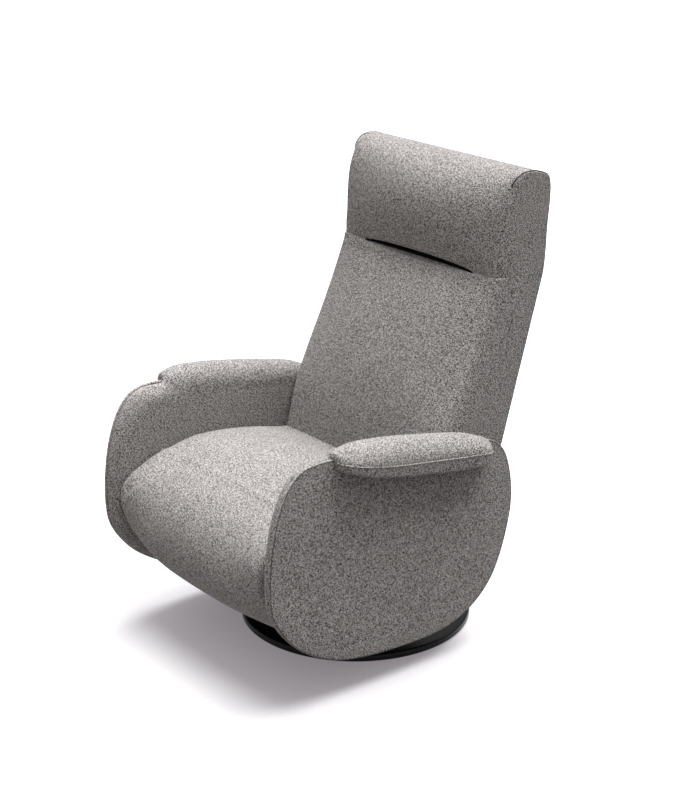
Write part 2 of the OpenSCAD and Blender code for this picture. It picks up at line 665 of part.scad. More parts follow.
// Rear panel under the back, which turns with it inside the fixed panel below
tail_t = 13;
tail_low_z = 300;
tail_in = 16;
module back_lower_apron() {
    y0 = rear_foot_y;
    color(fabric) side_slab(-back_half, 2 * back_half) polygon([
        [y0, back_start - face_gap], [y0 - tail_in, tail_low_z + tail_t / 2], [y0 - tail_in - tail_t / 3, tail_low_z],
        [y0 - tail_in - tail_t, tail_low_z], [y0 - tail_t * 2, back_start - face_gap]]);
}
tail_r = norm([rear_foot_y - tail_in - pivot_y, tail_low_z + tail_t / 2 - pivot_z]);
apron_t = 9;
apron_step = 7;
apron_top = tail_low_z - apron_step;
apron_y = pivot_y + tail_r + 1;
apron_shares = [[0, 1], [0.02, 0.66], [0.17, 0.37], [0.42, 0.14], [0.72, 0]];
module rear_apron() {
    tall = apron_top - beam_z;
    outer = [for (q = apron_shares) [apron_y + apron_t - tall * q[0] / 1.6, beam_z + tall * q[1]]];
    color(fabric) side_slab(-arm_inner_x + face_gap, 2 * (arm_inner_x - face_gap))
        polygon(concat(outer, [for (i = [len(outer) - 1 : -1 : 0]) outer[i] - [apron_t, 0]]));
}
module dust_cover() {
    cover_t = 2;
    y1 = apron_y - (apron_top - beam_z) * apron_shares[4][0] / 1.6;
    color(felt) difference() {
        bar([-arm_inner_x + face_gap, rail_front_y, beam_z - cover_t - face_gap],
            [arm_inner_x - face_gap, y1 + apron_t, beam_z - face_gap]);
        bar([-carrier_w / 2 - overrun, beam_front_y - beam_w / 2 - overrun, flange_z],
            [carrier_w / 2 + overrun, beam_rear_y + beam_w / 2 + overrun, beam_z]);
    }
}

// Head part
head_h = back_top - fold_h;
head_foot_y = 184;
head_depth = 137;
head_front_shares = [[0, 0.01], [0, 0.12], [0.018, 0.25], [0.028, 0.42], [0.055, 0.60], [0.10, 0.73], [0.18, 0.84],
    [0.29, 0.935], [0.45, 0.988], [0.58, 1]];
head_rear_shares = [[1, 0.01], [1.025, 0.13], [1.04, 0.26], [1.052, 0.44], [1.08, 0.60], [1.095, 0.73], [1.09, 0.85],
    [1.02, 0.94], [0.80, 0.988], [0.66, 1]];
head_bulge_shares = [0.25, 0.85, 1, 0.9, 0.68, 0.45, 0.25, 0.1, 0, 0];
function head_point(p) = [head_foot_y + head_depth * p[0], fold_h + head_h * p[1]];
head_split_y = 246;
head_rings = 13;
function head_front_at(s) = head_point(share_at(head_front_shares, s));
function head_rear_at(s) = head_point(share_at(head_rear_shares, s));
function head_depth_at(s) = let (f = head_front_at(s), r = head_rear_at(s))
    min(head_split_y - f[0], norm(r - f) * 0.55);
head_low_z = head_front_at(0)[1];
module head_cushion() {
    wedge = 70;
    slope = 3;
    color(fabric) difference() {
        skin([for (i = [0 : head_rings]) let (s = i / head_rings, f = head_front_at(s), r = head_rear_at(s))
            half_section(f, toward(f, r), head_depth_at(s), back_half, head_bulge * share_at(head_bulge_shares, s),
                min(front_round, norm(r - f) / 3))]);
        side_slab(-back_half - overrun, 2 * (back_half + overrun)) polygon([
            [head_axis_y + overrun, head_low_z - overrun], [head_axis_y, head_low_z],
            [head_axis_y - wedge, head_low_z + wedge * tan(head_tilt_max + slope)],
            [head_axis_y - wedge, head_low_z - overrun]]);
        leaf_pocket(head_axis_y - leaf_r - 1, head_split_y + overrun, head_low_z - overrun, head_low_z + 5 * leaf_r);
    }
}
head_pocket_half = 232;
head_tube_r = 7;
head_cross_r = 5.5;
head_pocket_share = 0.66;
module head_shell() {
    color(fabric) difference() {
        skin([for (i = [0 : head_rings]) let (s = i / head_rings, f = head_front_at(s), r = head_rear_at(s))
            half_section(r, toward(r, f), norm(r - f) - head_depth_at(s) - face_gap, back_half, 2,
                min(rear_round, norm(r - f) / 3))], true);
        bar([-head_pocket_half, head_split_y - overrun, head_low_z - overrun],
            [head_pocket_half, head_split_y + 3 * head_tube_r, fold_h + head_h * head_pocket_share]);
    }
}
hinge_pin_r = 4;
module hinge_leaf(x, p) {
    difference() {
        union() {
            rod_x(x, x + leaf_t, head_axis_y, head_axis_z, leaf_r);
            side_slab(x, leaf_t) polygon([
                [head_axis_y - leaf_r, head_axis_z], [p[0] - leaf_r / 2, p[1]], [p[0] + leaf_r / 2, p[1]],
                [head_axis_y + leaf_r, head_axis_z]]);
        }
        rod_x(x - overrun, x + leaf_t + overrun, head_axis_y, head_axis_z, hinge_pin_r + run_gap);
    }
}
head_tube_y = head_split_y + face_gap + head_tube_r;
head_tube_low = [head_tube_y, fold_h + head_h * 0.16];
head_tube_high = [head_tube_y, fold_h + head_h * 0.58];
module head_frame() {
    color(steel) {
        both_sides() tube_between([hinge_x + leaf_t + leaf_gap + head_tube_r, head_tube_low[0], head_tube_low[1]],
            [hinge_x + leaf_t + leaf_gap + head_tube_r, head_tube_high[0], head_tube_high[1]], head_tube_r);
        for (p = [head_tube_low + [0, 4 * head_tube_r], head_tube_high - [0, 2 * head_tube_r]])
            rod_x(-hinge_x - leaf_t - head_tube_r, hinge_x + leaf_t + head_tube_r, p[0], p[1], head_cross_r);
        both_sides() hinge_leaf(hinge_x + leaf_t + leaf_gap, head_tube_low);
    }
}
module head_hinges() {
    head = 2;
    x1 = hinge_x + 2 * leaf_t + leaf_gap;
    color(bright) both_sides() {
        rod_x(hinge_x - head, x1 + head, head_axis_y, head_axis_z, hinge_pin_r);
        rod_x(hinge_x - 2 * head, hinge_x - head / 2, head_axis_y, head_axis_z, hinge_pin_r + head);
        rod_x(x1 + head / 2, x1 + 2 * head, head_axis_y, head_axis_z, hinge_pin_r + head);
    }
}

// Gas spring under the seat, between the seat frame's front rail and a lever on the back frame
gas_lever_r = 110;
gas_pin_r = 5;
gas_half_swing = recline_max / 2;
gas_pin = [pivot_y + gas_lever_r * sin(gas_half_swing), pivot_z - gas_lever_r * cos(gas_half_swing)];
gas_lever_t = 8;
gas_slot = 4;
gas_slack = 0.9;
gas_sag = gas_lever_r * (1 - cos(gas_half_swing)) + 0.5;
module gas_lever() {
    p = frame_cross_low;
    difference() {
        union() {
            side_slab(-gas_lever_t / 2, gas_lever_t) polygon([
                [p[0] - frame_r, p[1]], [gas_pin[0] - frame_r, gas_pin[1]],
                [gas_pin[0] + frame_r, gas_pin[1]], [p[0] + frame_r, p[1]]]);
            rod_x(-gas_lever_t / 2, gas_lever_t / 2, gas_pin[0], gas_pin[1], frame_r);
            rod_x(-fork_w, fork_w, gas_pin[0], gas_pin[1], gas_pin_r);
        }
    }
}
anchor_y = -292;
anchor_z = 235;
fork_w = 15;
fork_t = 4;
fork_gap = 0.6;
gas_r = 9.5;
gas_rod_r = 5;
gas_dir = (gas_pin - [anchor_y, anchor_z]) / norm(gas_pin - [anchor_y, anchor_z]);
gas_length = norm(gas_pin - [anchor_y, anchor_z]);
gas_angle = atan2(gas_dir[1], gas_dir[0]);
gas_body_len = 225;
module along_gas() {
    translate([0, anchor_y, anchor_z]) rotate([gas_angle, 0, 0]) rotate([-90, 0, 0]) children();
}
module gas_spring_anchor() {
    lug_t = 5;
    color(steel) {
        for (x = [-fork_w, fork_w - lug_t]) difference() {
            union() {
                side_slab(x, lug_t) polygon([
                    [rail_front_y + rail_w, rail_z1 - rail_h / 3], [rail_front_y + rail_w, rail_z0],
                    [anchor_y, anchor_z - frame_r], [anchor_y + frame_r, anchor_z], [anchor_y, rail_z1 - rail_h / 3]]);
                rod_x(x, x + lug_t, anchor_y, anchor_z, frame_r);
            }
        }
        rod_x(-fork_w, fork_w, anchor_y, anchor_z, gas_pin_r);
    }
}
module gas_spring_cylinder() {
    eye = 8;
    color(black) difference() {
        union() {
            along_gas() translate([0, 0, gas_pin_r]) cylinder(h = gas_body_len, r = gas_r);
            rod_x(-eye, eye, anchor_y, anchor_z, frame_r);
        }
        rod_x(-eye - overrun, eye + overrun, anchor_y, anchor_z, gas_pin_r + run_gap);
        along_gas() translate([0, 0, gas_body_len / 8]) cylinder(h = gas_body_len, r = gas_rod_r + run_gap);
    }
}
module gas_spring_rod() {
    fork_len = 34;
    inner = gas_lever_t / 2 + fork_gap;
    color(bright) {
        along_gas() translate([0, 0, gas_length - gas_body_len * 0.9])
            cylinder(h = gas_body_len * 0.9 - frame_r - 2 * gas_slot, r = gas_rod_r);
        difference() {
            along_gas() translate([-inner - fork_t, -frame_r, gas_length - fork_len])
                cube([2 * inner + 2 * fork_t, 2 * frame_r + 2 * gas_sag, fork_len + frame_r]);
            along_gas() translate([-inner, -2 * frame_r, gas_length - frame_r - gas_slot])
                cube([2 * inner, 5 * frame_r, fork_len + frame_r]);
            along_gas() for (d = [0, gas_sag]) translate([-fork_w - overrun, d, gas_length]) rotate([0, 90, 0])
                cylinder(h = 2 * fork_w + 2 * overrun, r = gas_pin_r + gas_slack);
            along_gas() translate([-fork_w - overrun, 0, gas_length - gas_pin_r - gas_slack])
                cube([2 * fork_w + 2 * overrun, gas_sag, 2 * (gas_pin_r + gas_slack)]);
        }
    }
}

// Release lever on the outer face of the sitter's right arm
lever_y = -215;
lever_z = 330;
lever_shaft_r = 5;
lever_plate_r = 19;
lever_plate_t = 4;
lever_len = 84;
lever_t = 9;
lever_slope = 28;
lever_step = 1.5;
lever_w = 20;
lever_x = -arm_outer_x - lever_plate_t - face_gap;
module lever_hole(grow) {
    rod_x(-arm_outer_x - overrun, -core_inner_x - 2 * overrun, lever_y, lever_z, lever_shaft_r + grow);
}
module lever_escutcheon() {
    color(black) difference() {
        rod_x(-arm_outer_x - lever_plate_t, -arm_outer_x, lever_y, lever_z, lever_plate_r);
        rod_x(-arm_outer_x - lever_plate_t - overrun, -arm_outer_x + overrun, lever_y, lever_z, lever_shaft_r + bolt_gap);
    }
}
module release_lever() {
    color(black) {
        rod_x(lever_x - lever_t / 2, -core_inner_x - 4 * overrun, lever_y, lever_z, lever_shaft_r);
        rod_x(lever_x - lever_t, lever_x, lever_y, lever_z, lever_w * 0.7);
        translate([lever_x - lever_t, lever_y, lever_z]) rotate([lever_slope, 0, 0]) {
            bar([lever_step, -lever_len + lever_w / 2, -lever_w * 0.4], [lever_t - lever_step, 0, lever_w * 0.4]);
            rod_x(lever_step / 2, lever_t - lever_step / 2, -lever_len + lever_w / 2, 0, lever_w / 2);
        }
    }
}

floor_glides();
base_plate();
swivel_post();
post_bolts();
thrust_washer();
swivel_bush();
swivel_housing();
flange_bolts();
cross_beam(beam_front_y);  // front_cross_beam
cross_beam(beam_rear_y);  // rear_cross_beam
side_plate();  // left_side_plate
mirror([1, 0, 0]) side_plate();  // right_side_plate
seat_frame();
seat_webbing();
seat_cushion();
slide_channel();  // left_slide_channel
mirror([1, 0, 0]) slide_channel();  // right_slide_channel
rear_apron();
dust_cover();
recline_pins();
arm_core();  // left_arm_core
arm_outer_cover();  // left_arm_outer_cover
arm_inner_cover();  // left_arm_inner_cover
arm_pad();  // left_arm_pad
mirror([1, 0, 0]) arm_core() mirror([1, 0, 0]) lever_hole(run_gap);  // right_arm_core
mirror([1, 0, 0]) arm_outer_cover() mirror([1, 0, 0]) lever_hole(bolt_gap);  // right_arm_outer_cover
mirror([1, 0, 0]) arm_inner_cover();  // right_arm_inner_cover
mirror([1, 0, 0]) arm_pad();  // right_arm_pad
arm_bolts();
gas_spring_anchor();
lever_escutcheon();
back_frame();
back_brackets();
back_cushion();
back_shell();
back_lower_apron();
back_webbing();
head_frame();
head_cushion();
head_shell();
head_hinges();
runner();  // left_runner
mirror([1, 0, 0]) runner();  // right_runner
legrest_shaft();
legrest_board();
legrest_ears();
legrest_cushion();
gas_spring_cylinder();
gas_spring_rod();
release_lever();
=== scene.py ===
import math

import bmesh
import bpy
import numpy as np
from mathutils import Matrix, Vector


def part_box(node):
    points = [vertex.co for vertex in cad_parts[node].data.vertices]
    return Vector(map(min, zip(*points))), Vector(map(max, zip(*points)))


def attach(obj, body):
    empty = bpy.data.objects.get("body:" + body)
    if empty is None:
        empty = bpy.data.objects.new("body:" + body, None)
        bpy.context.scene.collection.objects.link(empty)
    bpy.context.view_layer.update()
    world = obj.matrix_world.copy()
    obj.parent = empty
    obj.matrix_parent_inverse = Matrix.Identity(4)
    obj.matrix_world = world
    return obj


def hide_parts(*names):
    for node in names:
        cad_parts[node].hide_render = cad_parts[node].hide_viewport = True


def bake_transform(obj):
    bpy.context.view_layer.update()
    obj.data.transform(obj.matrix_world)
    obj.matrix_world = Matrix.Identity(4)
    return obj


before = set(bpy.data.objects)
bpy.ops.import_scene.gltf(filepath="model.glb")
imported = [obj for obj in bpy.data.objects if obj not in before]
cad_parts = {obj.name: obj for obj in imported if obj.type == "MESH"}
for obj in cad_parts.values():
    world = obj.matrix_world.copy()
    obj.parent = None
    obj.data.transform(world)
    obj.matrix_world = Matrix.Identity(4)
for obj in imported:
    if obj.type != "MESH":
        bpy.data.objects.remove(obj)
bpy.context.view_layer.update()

scene = bpy.context.scene
MM = 0.001

# Shapes are worked out in millimetres, in the frame of the chair: +Z up, the sitter faces -Y, and the origin is the
# centre of the disc on the floor. new_object turns them into metres.

# ---------------------------------------------------------------- camera, light, floor
CAMERA_PLACE, CAMERA_LENS = (3.0523, -2.4572, 1.9565), 80.01
CAMERA_DOWN, CAMERA_TURN = 19.85, 51.36
WARM = (1.0, 0.96, 0.92)
# along the sky from straight down (0) over the horizon (0.5) to straight up (1), and the light's strength there
SKY_LEVELS = ((0.44, 0.20), (0.53, 0.12), (1.0, 1.0))

cam_data = bpy.data.cameras.new("camera")
cam_data.lens = CAMERA_LENS
cam_data.sensor_width = 36.0
cam_data.clip_end = 200
camera = bpy.data.objects.new("camera", cam_data)
camera.location = CAMERA_PLACE
camera.rotation_euler = (math.radians(90 - CAMERA_DOWN), 0, math.radians(CAMERA_TURN))
scene.collection.objects.link(camera)
scene.camera = camera
scene.view_settings.view_transform = "Standard"


def sun(name, direction, strength, angle, color=(1, 1, 1)):
    """A soft light from a direction, given as the way from the chair to the light; angle is its width in degrees."""
    data = bpy.data.lights.new(name, "SUN")
    data.energy = strength * math.pi
    data.angle = math.radians(angle)
    data.color = color
    o = bpy.data.objects.new(name, data)
    o.rotation_euler = Vector(direction).to_track_quat("Z", "Y").to_euler()
    scene.collection.objects.link(o)


sun("key_light", (0.03, 0.20, 0.98), 2.12, 54)
sun("side_light", (0.88, -0.35, 0.08), 0.13, 80, WARM)
sun("front_low_light", (-0.45, -0.80, -0.35), 0.15, 80, WARM)


# ---------------------------------------------------------------- materials
def new_material(name):
    m = bpy.data.materials.new(name)
    m.use_nodes = True
    tree = m.node_tree
    return m, tree, tree.nodes["Principled BSDF"]


def add(tree, kind, **values):
    n = tree.nodes.new(kind)
    for k, v in values.items():
        setattr(n, k, v)
    return n


def scaled(tree, source, scale):
    n = add(tree, "ShaderNodeVectorMath", operation="MULTIPLY")
    tree.links.new(source, n.inputs[0])
    n.inputs[1].default_value = scale
    return n.outputs[0]


def noise(tree, vector, scale, detail=2.0, rough=0.5):
    n = add(tree, "ShaderNodeTexNoise")
    tree.links.new(vector, n.inputs["Vector"])
    n.inputs["Scale"].default_value = scale
    n.inputs["Detail"].default_value = detail
    n.inputs["Roughness"].default_value = rough
    return n.outputs["Fac"]


def math_node(tree, op, a, b=None, clamp=False):
    n = add(tree, "ShaderNodeMath", operation=op, use_clamp=clamp)
    for i, v in enumerate((a, b)):
        if v is None:
            continue
        if isinstance(v, (int, float)):
            n.inputs[i].default_value = v
        else:
            tree.links.new(v, n.inputs[i])
    return n.outputs[0]


def ramp(tree, fac, stops):
    """A colour over fac, from stops of a position and a colour in rising order."""
    n = add(tree, "ShaderNodeValToRGB")
    el = n.color_ramp.elements
    el[0].position, el[0].color = stops[0][0], (*stops[0][1], 1)
    el[1].position, el[1].color = stops[-1][0], (*stops[-1][1], 1)
    for p, c in stops[1:-1]:
        el.new(p).color = (*c, 1)
    tree.links.new(fac, n.inputs[0])
    return n.outputs[0]


def bump(tree, height, strength, distance, normal=None):
    n = add(tree, "ShaderNodeBump")
    n.inputs["Strength"].default_value = strength
    n.inputs["Distance"].default_value = distance
    tree.links.new(height, n.inputs["Height"])
    if normal is not None:
        tree.links.new(normal, n.inputs["Normal"])
    return n.outputs[0]


def coordinates(tree):
    return add(tree, "ShaderNodeTexCoord").outputs["Object"]


def blended(tree, a, b, share_a, share_b):
    return math_node(tree, "ADD", math_node(tree, "MULTIPLY", a, share_a), math_node(tree, "MULTIPLY", b, share_b))


# noise scales of the cloth: across a fleck, along it, and of the grain in it
FLECK_WIDE, FLECK_LONG, CLOTH_GRAIN = 600, 230, 1000
CLOTH_CONTRAST = 7.0
# how far from the middle of the noise each colour of the flecks stands, before the contrast
FLECKS = ((-0.105, (0.060, 0.054, 0.050)), (-0.030, (0.245, 0.226, 0.213)),
          (0.030, (0.400, 0.375, 0.357)), (0.105, (0.760, 0.728, 0.708)))


def melange(name, lift=0.58):
    """Woven wool-like cloth: short light and dark flecks along three thread directions. lift sets its lightness."""
    m, tree, p = new_material(name)
    v = add(tree, "ShaderNodeAttribute", attribute_name="rest_place").outputs["Vector"]
    across, along, down = [noise(tree, scaled(tree, v, scale), 1.0, 1.5, 0.6) for scale in (
        (FLECK_WIDE, FLECK_LONG, FLECK_WIDE), (FLECK_LONG, FLECK_WIDE, FLECK_WIDE),
        (FLECK_WIDE, FLECK_WIDE, FLECK_LONG))]
    grain = noise(tree, v, CLOTH_GRAIN, 1.0, 0.5)
    threads = math_node(tree, "ADD", math_node(tree, "ADD", across, along), down)
    mixed = blended(tree, threads, grain, 0.25, 0.25)
    color = ramp(tree, mixed, [(0.5 + off / CLOTH_CONTRAST, tuple(lift * x for x in c)) for off, c in FLECKS])
    patches = ramp(tree, noise(tree, v, 9, 2.0, 0.5), [(0.3, (0.95, 0.95, 0.95)), (0.7, (1.0, 1.0, 1.0))])
    shade = add(tree, "ShaderNodeMix", data_type="RGBA", blend_type="MULTIPLY")
    shade.inputs["Factor"].default_value = 1.0
    tree.links.new(color, shade.inputs["A"])
    tree.links.new(patches, shade.inputs["B"])
    tree.links.new(shade.outputs["Result"], p.inputs["Base Color"])
    p.inputs["Roughness"].default_value = 0.92
    p.inputs["Specular IOR Level"].default_value = 0.18
    p.inputs["Sheen Weight"].default_value = 0.10
    p.inputs["Sheen Roughness"].default_value = 0.55
    p.inputs["Sheen Tint"].default_value = (0.95, 0.93, 0.92, 1)
    soft = bump(tree, noise(tree, v, 26, 3.0, 0.55), 0.25, 0.0035)
    tree.links.new(bump(tree, mixed, 0.75, 0.0024, soft), p.inputs["Normal"])
    return m


COLOR_SPREAD = 0.15


def solid_finish(name, color, rough, metal=0.0, grain_scale=260, grain=0.02, stretch=(1, 1, 1),
                 bump_distance=0.0002, specular=0.5):
    """A hard finish: slight change of colour and gloss over the surface, and a fine grain."""
    m, tree, p = new_material(name)
    v = coordinates(tree)
    fine = noise(tree, scaled(tree, v, tuple(grain_scale * s for s in stretch)), 1.0, 3.0, 0.6)
    wide = noise(tree, v, 14, 3.0, 0.6)
    mixed = blended(tree, fine, wide, 0.5, 0.5)
    low, high = (tuple(min(1, x * k) for x in color) for k in (1 - COLOR_SPREAD, 1 + COLOR_SPREAD))
    tree.links.new(ramp(tree, mixed, [(0.35, low), (0.65, high)]), p.inputs["Base Color"])
    gloss = math_node(tree, "ADD", math_node(tree, "MULTIPLY", mixed, grain * 4), rough - grain * 2, True)
    tree.links.new(gloss, p.inputs["Roughness"])
    p.inputs["Metallic"].default_value = metal
    p.inputs["Specular IOR Level"].default_value = specular
    tree.links.new(bump(tree, fine, 0.3, bump_distance), p.inputs["Normal"])
    return m


def plywood_finish():
    """Birch plywood: long grain, and the layers as bands through the board."""
    m, tree, p = new_material("plywood_birch")
    v = coordinates(tree)
    grain = noise(tree, scaled(tree, v, (40, 6, 90)), 1.0, 4.0, 0.6)
    layers = add(tree, "ShaderNodeTexWave", wave_type="BANDS", bands_direction="X")
    tree.links.new(v, layers.inputs["Vector"])
    layers.inputs["Scale"].default_value = 110
    layers.inputs["Distortion"].default_value = 0.4
    mixed = blended(tree, grain, layers.outputs["Fac"], 0.7, 0.3)
    color = ramp(tree, mixed, [(0.3, (0.50, 0.34, 0.19)), (0.7, (0.72, 0.55, 0.36))])
    tree.links.new(color, p.inputs["Base Color"])
    p.inputs["Roughness"].default_value = 0.7
    tree.links.new(bump(tree, grain, 0.3, 0.0003), p.inputs["Normal"])
    return m


def cloth_finish(name, dark, light, pitch, sheen=0.15):
    """Plain dense cloth, felt or strap: crossed threads at the given pitch in metres."""
    m, tree, p = new_material(name)
    v = coordinates(tree)
    k = 1 / pitch
    a = noise(tree, scaled(tree, v, (k, k / 5, k)), 1.0, 1.0)
    b = noise(tree, scaled(tree, v, (k / 5, k, k)), 1.0, 1.0)
    mixed = math_node(tree, "MULTIPLY", math_node(tree, "ADD", a, b), 0.5)
    tree.links.new(ramp(tree, mixed, [(0.35, dark), (0.65, light)]), p.inputs["Base Color"])
    p.inputs["Roughness"].default_value = 0.9
    p.inputs["Sheen Weight"].default_value = sheen
    p.inputs["Specular IOR Level"].default_value = 2 * sheen
    tree.links.new(bump(tree, mixed, 0.5, 0.0008), p.inputs["Normal"])
    return m


def floor_finish():
    """Pale and matt, with a little light of its own so that it runs into the white behind."""
    m, tree, p = new_material("studio_floor")
    v = coordinates(tree)
    color = ramp(tree, noise(tree, v, 3, 2), [(0.3, (0.550, 0.548, 0.552)), (0.7, (0.560, 0.558, 0.562))])
    tree.links.new(color, p.inputs["Base Color"])
    p.inputs["Roughness"].default_value = 0.8
    p.inputs["Specular IOR Level"].default_value = 0.1
    p.inputs["Emission Color"].default_value = (1.0, 0.92, 1.0, 1)
    p.inputs["Emission Strength"].default_value = 0.18
    return m


fabric = melange("melange_cloth")
piping = melange("melange_piping", lift=0.70)
# dark cloth for the arms' welts: painted shade, standing for the shadow in the groove of the seam round the outer
# panel
painted_seam_shade = melange("melange_painted_seam_shade", lift=0.20)
# near black cloth for the head's seam: painted shade, a dark line standing for the shadow in the seam's groove
painted_seam_shade_dark = melange("melange_painted_seam_shade_dark", lift=0.07)
gloss_black = solid_finish("gloss_black", (0.004, 0.004, 0.005), 0.22, grain_scale=90, grain=0.01,
                           bump_distance=0.00004, specular=0.2)
powder = solid_finish("powder_coat", (0.055, 0.055, 0.06), 0.55, grain_scale=900, grain=0.05)
zinc = solid_finish("zinc_steel", (0.55, 0.55, 0.57), 0.32, metal=1.0, grain_scale=300, grain=0.05,
                    stretch=(0.1, 1, 1))
polished = solid_finish("polished_rod", (0.62, 0.62, 0.63), 0.14, metal=1.0, grain_scale=400, grain=0.03,
                        stretch=(1, 0.05, 1))
nylon = solid_finish("nylon", (0.72, 0.70, 0.64), 0.45, grain_scale=500)
plastic = solid_finish("black_plastic", (0.018, 0.018, 0.02), 0.42, grain_scale=1400, grain=0.04,
                       bump_distance=0.0001)
ply = plywood_finish()
felt = cloth_finish("felt", (0.03, 0.03, 0.03), (0.09, 0.09, 0.09), 0.0012)
webbing = cloth_finish("webbing", (0.05, 0.045, 0.04), (0.14, 0.13, 0.12), 0.0025)
# cloth of the dust cover; the same cloth also paints the slot between back and head black, which is painted shade
lining = cloth_finish("lining", (0.003, 0.003, 0.003), (0.010, 0.010, 0.010), 0.0015, sheen=0.02)

CAD_LOOKS = {
    gloss_black: ["base_plate"],
    powder: ["swivel_post", "swivel_housing", "front_cross_beam", "rear_cross_beam", "left_side_plate",
             "right_side_plate", "seat_frame", "back_frame", "back_brackets", "head_frame", "legrest_ears",
             "left_runner", "right_runner", "gas_spring_anchor"],
    zinc: ["post_bolts", "flange_bolts", "left_slide_channel", "right_slide_channel", "recline_pins", "arm_bolts",
           "head_hinges", "legrest_shaft"],
    plastic: ["lever_escutcheon", "release_lever", "gas_spring_cylinder"],
    polished: ["gas_spring_rod"],
    ply: ["left_arm_core", "right_arm_core", "legrest_board"],
    nylon: ["thrust_washer", "swivel_bush"],
    felt: ["floor_glides"],
    webbing: ["seat_webbing", "back_webbing"],
    lining: ["dust_cover"],
}
for look, names in CAD_LOOKS.items():
    for name in names:
        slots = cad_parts[name].data.materials
        slots.clear()
        slots.append(look)


# ---------------------------------------------------------------- sky, floor, backdrop
def sky():
    """A studio sky whose light depends on the height it comes from, as in SKY_LEVELS."""
    world = bpy.data.worlds.new("world")
    scene.world = world
    world.use_nodes = True
    tree = world.node_tree
    axes = add(tree, "ShaderNodeSeparateXYZ")
    height = add(tree, "ShaderNodeMapRange")
    height.inputs["From Min"].default_value = -1
    height.inputs["From Max"].default_value = 1
    tree.links.new(add(tree, "ShaderNodeTexCoord").outputs["Generated"], axes.inputs[0])
    tree.links.new(axes.outputs["Z"], height.inputs["Value"])
    level = ramp(tree, height.outputs[0], [(at, (value, value, value)) for at, value in SKY_LEVELS])
    tree.links.new(level, tree.nodes["Background"].inputs["Strength"])
    tree.nodes["Background"].inputs["Color"].default_value = (1.0, 0.97, 0.985, 1)


def studio_floor():
    bpy.ops.mesh.primitive_plane_add(size=90, location=(-15, 15, 0))
    o = bpy.context.object
    o.name = "studio_floor"
    o.data.materials.append(floor_finish())
    o.visible_diffuse = o.visible_shadow = False


def backdrop():
    """A white studio dome that only the camera sees."""
    bpy.ops.mesh.primitive_uv_sphere_add(segments=48, ring_count=24, radius=42, location=(0, 0, 0))
    o = bpy.context.object
    o.name = "studio_backdrop"
    m, tree, p = new_material("studio_backdrop")
    color = ramp(tree, noise(tree, coordinates(tree), 0.05, 2), [(0.3, (0.99, 0.99, 1.0)), (0.7, (1.0, 1.0, 1.0))])
    tree.links.new(color, p.inputs["Emission Color"])
    p.inputs["Emission Strength"].default_value = 1.03
    p.inputs["Base Color"].default_value = (0, 0, 0, 1)
    p.inputs["Specular IOR Level"].default_value = 0
    o.data.materials.append(m)
    o.visible_diffuse = o.visible_glossy = o.visible_shadow = o.visible_transmission = False


sky()
studio_floor()
backdrop()


# ---------------------------------------------------------------- curves
def catmull(a, b, c, d, t):
    """From b (t = 0) to c (t = 1) on the curve through a, b, c and d."""
    return 0.5 * (2 * b + (c - a) * t + (2 * a - 5 * b + 4 * c - d) * t * t + (3 * b - a - 3 * c + d) * t ** 3)


def curve_at(p, t):
    """Point of an open Catmull-Rom curve over the rows of p at parameter t, which may be an array."""
    p = np.asarray(p, float)
    t = np.clip(np.asarray(t, float), 0, len(p) - 1)
    i = np.minimum(np.floor(t).astype(int), len(p) - 2)
    f = t - i
    if p.ndim > 1:
        f = f[..., None]
    last = len(p) - 1
    return catmull(p[np.maximum(i - 1, 0)], p[i], p[i + 1], p[np.minimum(i + 2, last)], f)


def share_at(p, s):
    """The same, with the parameter from 0 at the first row to 1 at the last."""
    return curve_at(p, np.asarray(s, float) * (len(p) - 1))


def closed_curve(p, steps):
    p = np.asarray(p, float)
    n = len(p)
    t = (np.arange(steps) / steps)[:, None]
    return np.concatenate([catmull(p[i - 1], p[i], p[(i + 1) % n], p[(i + 2) % n], t) for i in range(n)])


def smoothstep(x):
    x = np.clip(x, 0, 1)
    return x * x * (3 - 2 * x)


# ---------------------------------------------------------------- mesh helpers
def new_object(name, verts, faces, material):
    """A smooth object from points in millimetres."""
    me = bpy.data.meshes.new(name)
    points = [tuple(v) for v in np.asarray(verts, float) * MM]
    me.from_pydata(points, [], [tuple(int(i) for i in f) for f in faces])
    me.validate()
    o = bpy.data.objects.new(name, me)
    scene.collection.objects.link(o)
    bm = bmesh.new()
    bm.from_mesh(me)
    bmesh.ops.recalc_face_normals(bm, faces=bm.faces)
    bm.to_mesh(me)
    bm.free()
    me.materials.append(material)
    me.polygons.foreach_set("use_smooth", [True] * len(me.polygons))
    return o


def read_vectors(rows, field):
    a = np.empty(len(rows) * 3, np.float32)
    rows.foreach_get(field, a)
    return a.reshape(-1, 3).astype(float)


def coords(o):
    return read_vectors(o.data.vertices, "co")


def normals(o):
    return read_vectors(o.data.vertex_normals, "vector")


def set_coords(o, co):
    o.data.vertices.foreach_set("co", np.asarray(co, np.float32).ravel())
    o.data.update()


def apply_modifiers(o):
    bpy.context.view_layer.update()
    deps = bpy.context.evaluated_depsgraph_get()
    me = bpy.data.meshes.new_from_object(o.evaluated_get(deps))
    old = o.data
    o.modifiers.clear()
    o.data = me
    bpy.data.meshes.remove(old)
    me.polygons.foreach_set("use_smooth", [True] * len(me.polygons))


def remesh(o, voxel):
    """One closed skin round all that the object holds; voxel is in metres."""
    mod = o.modifiers.new("remesh", "REMESH")
    mod.mode = "VOXEL"
    mod.voxel_size = voxel
    apply_modifiers(o)


def sharpen(o, angle):
    o.data.set_sharp_from_angle(angle=math.radians(angle))


def keep_rest(o):
    """Stores where each point is at rest, so that the weave stays with the cloth."""
    a = o.data.attributes.new("rest_place", "FLOAT_VECTOR", "POINT")
    a.data.foreach_set("vector", coords(o).astype(np.float32).ravel())


def mirrored(o, name):
    """A copy of an object of the left side, for the right side."""
    me = o.data.copy()
    m = bpy.data.objects.new(name, me)
    scene.collection.objects.link(m)
    co = coords(m)
    co[:, 0] *= -1
    set_coords(m, co)
    me.flip_normals()
    return m


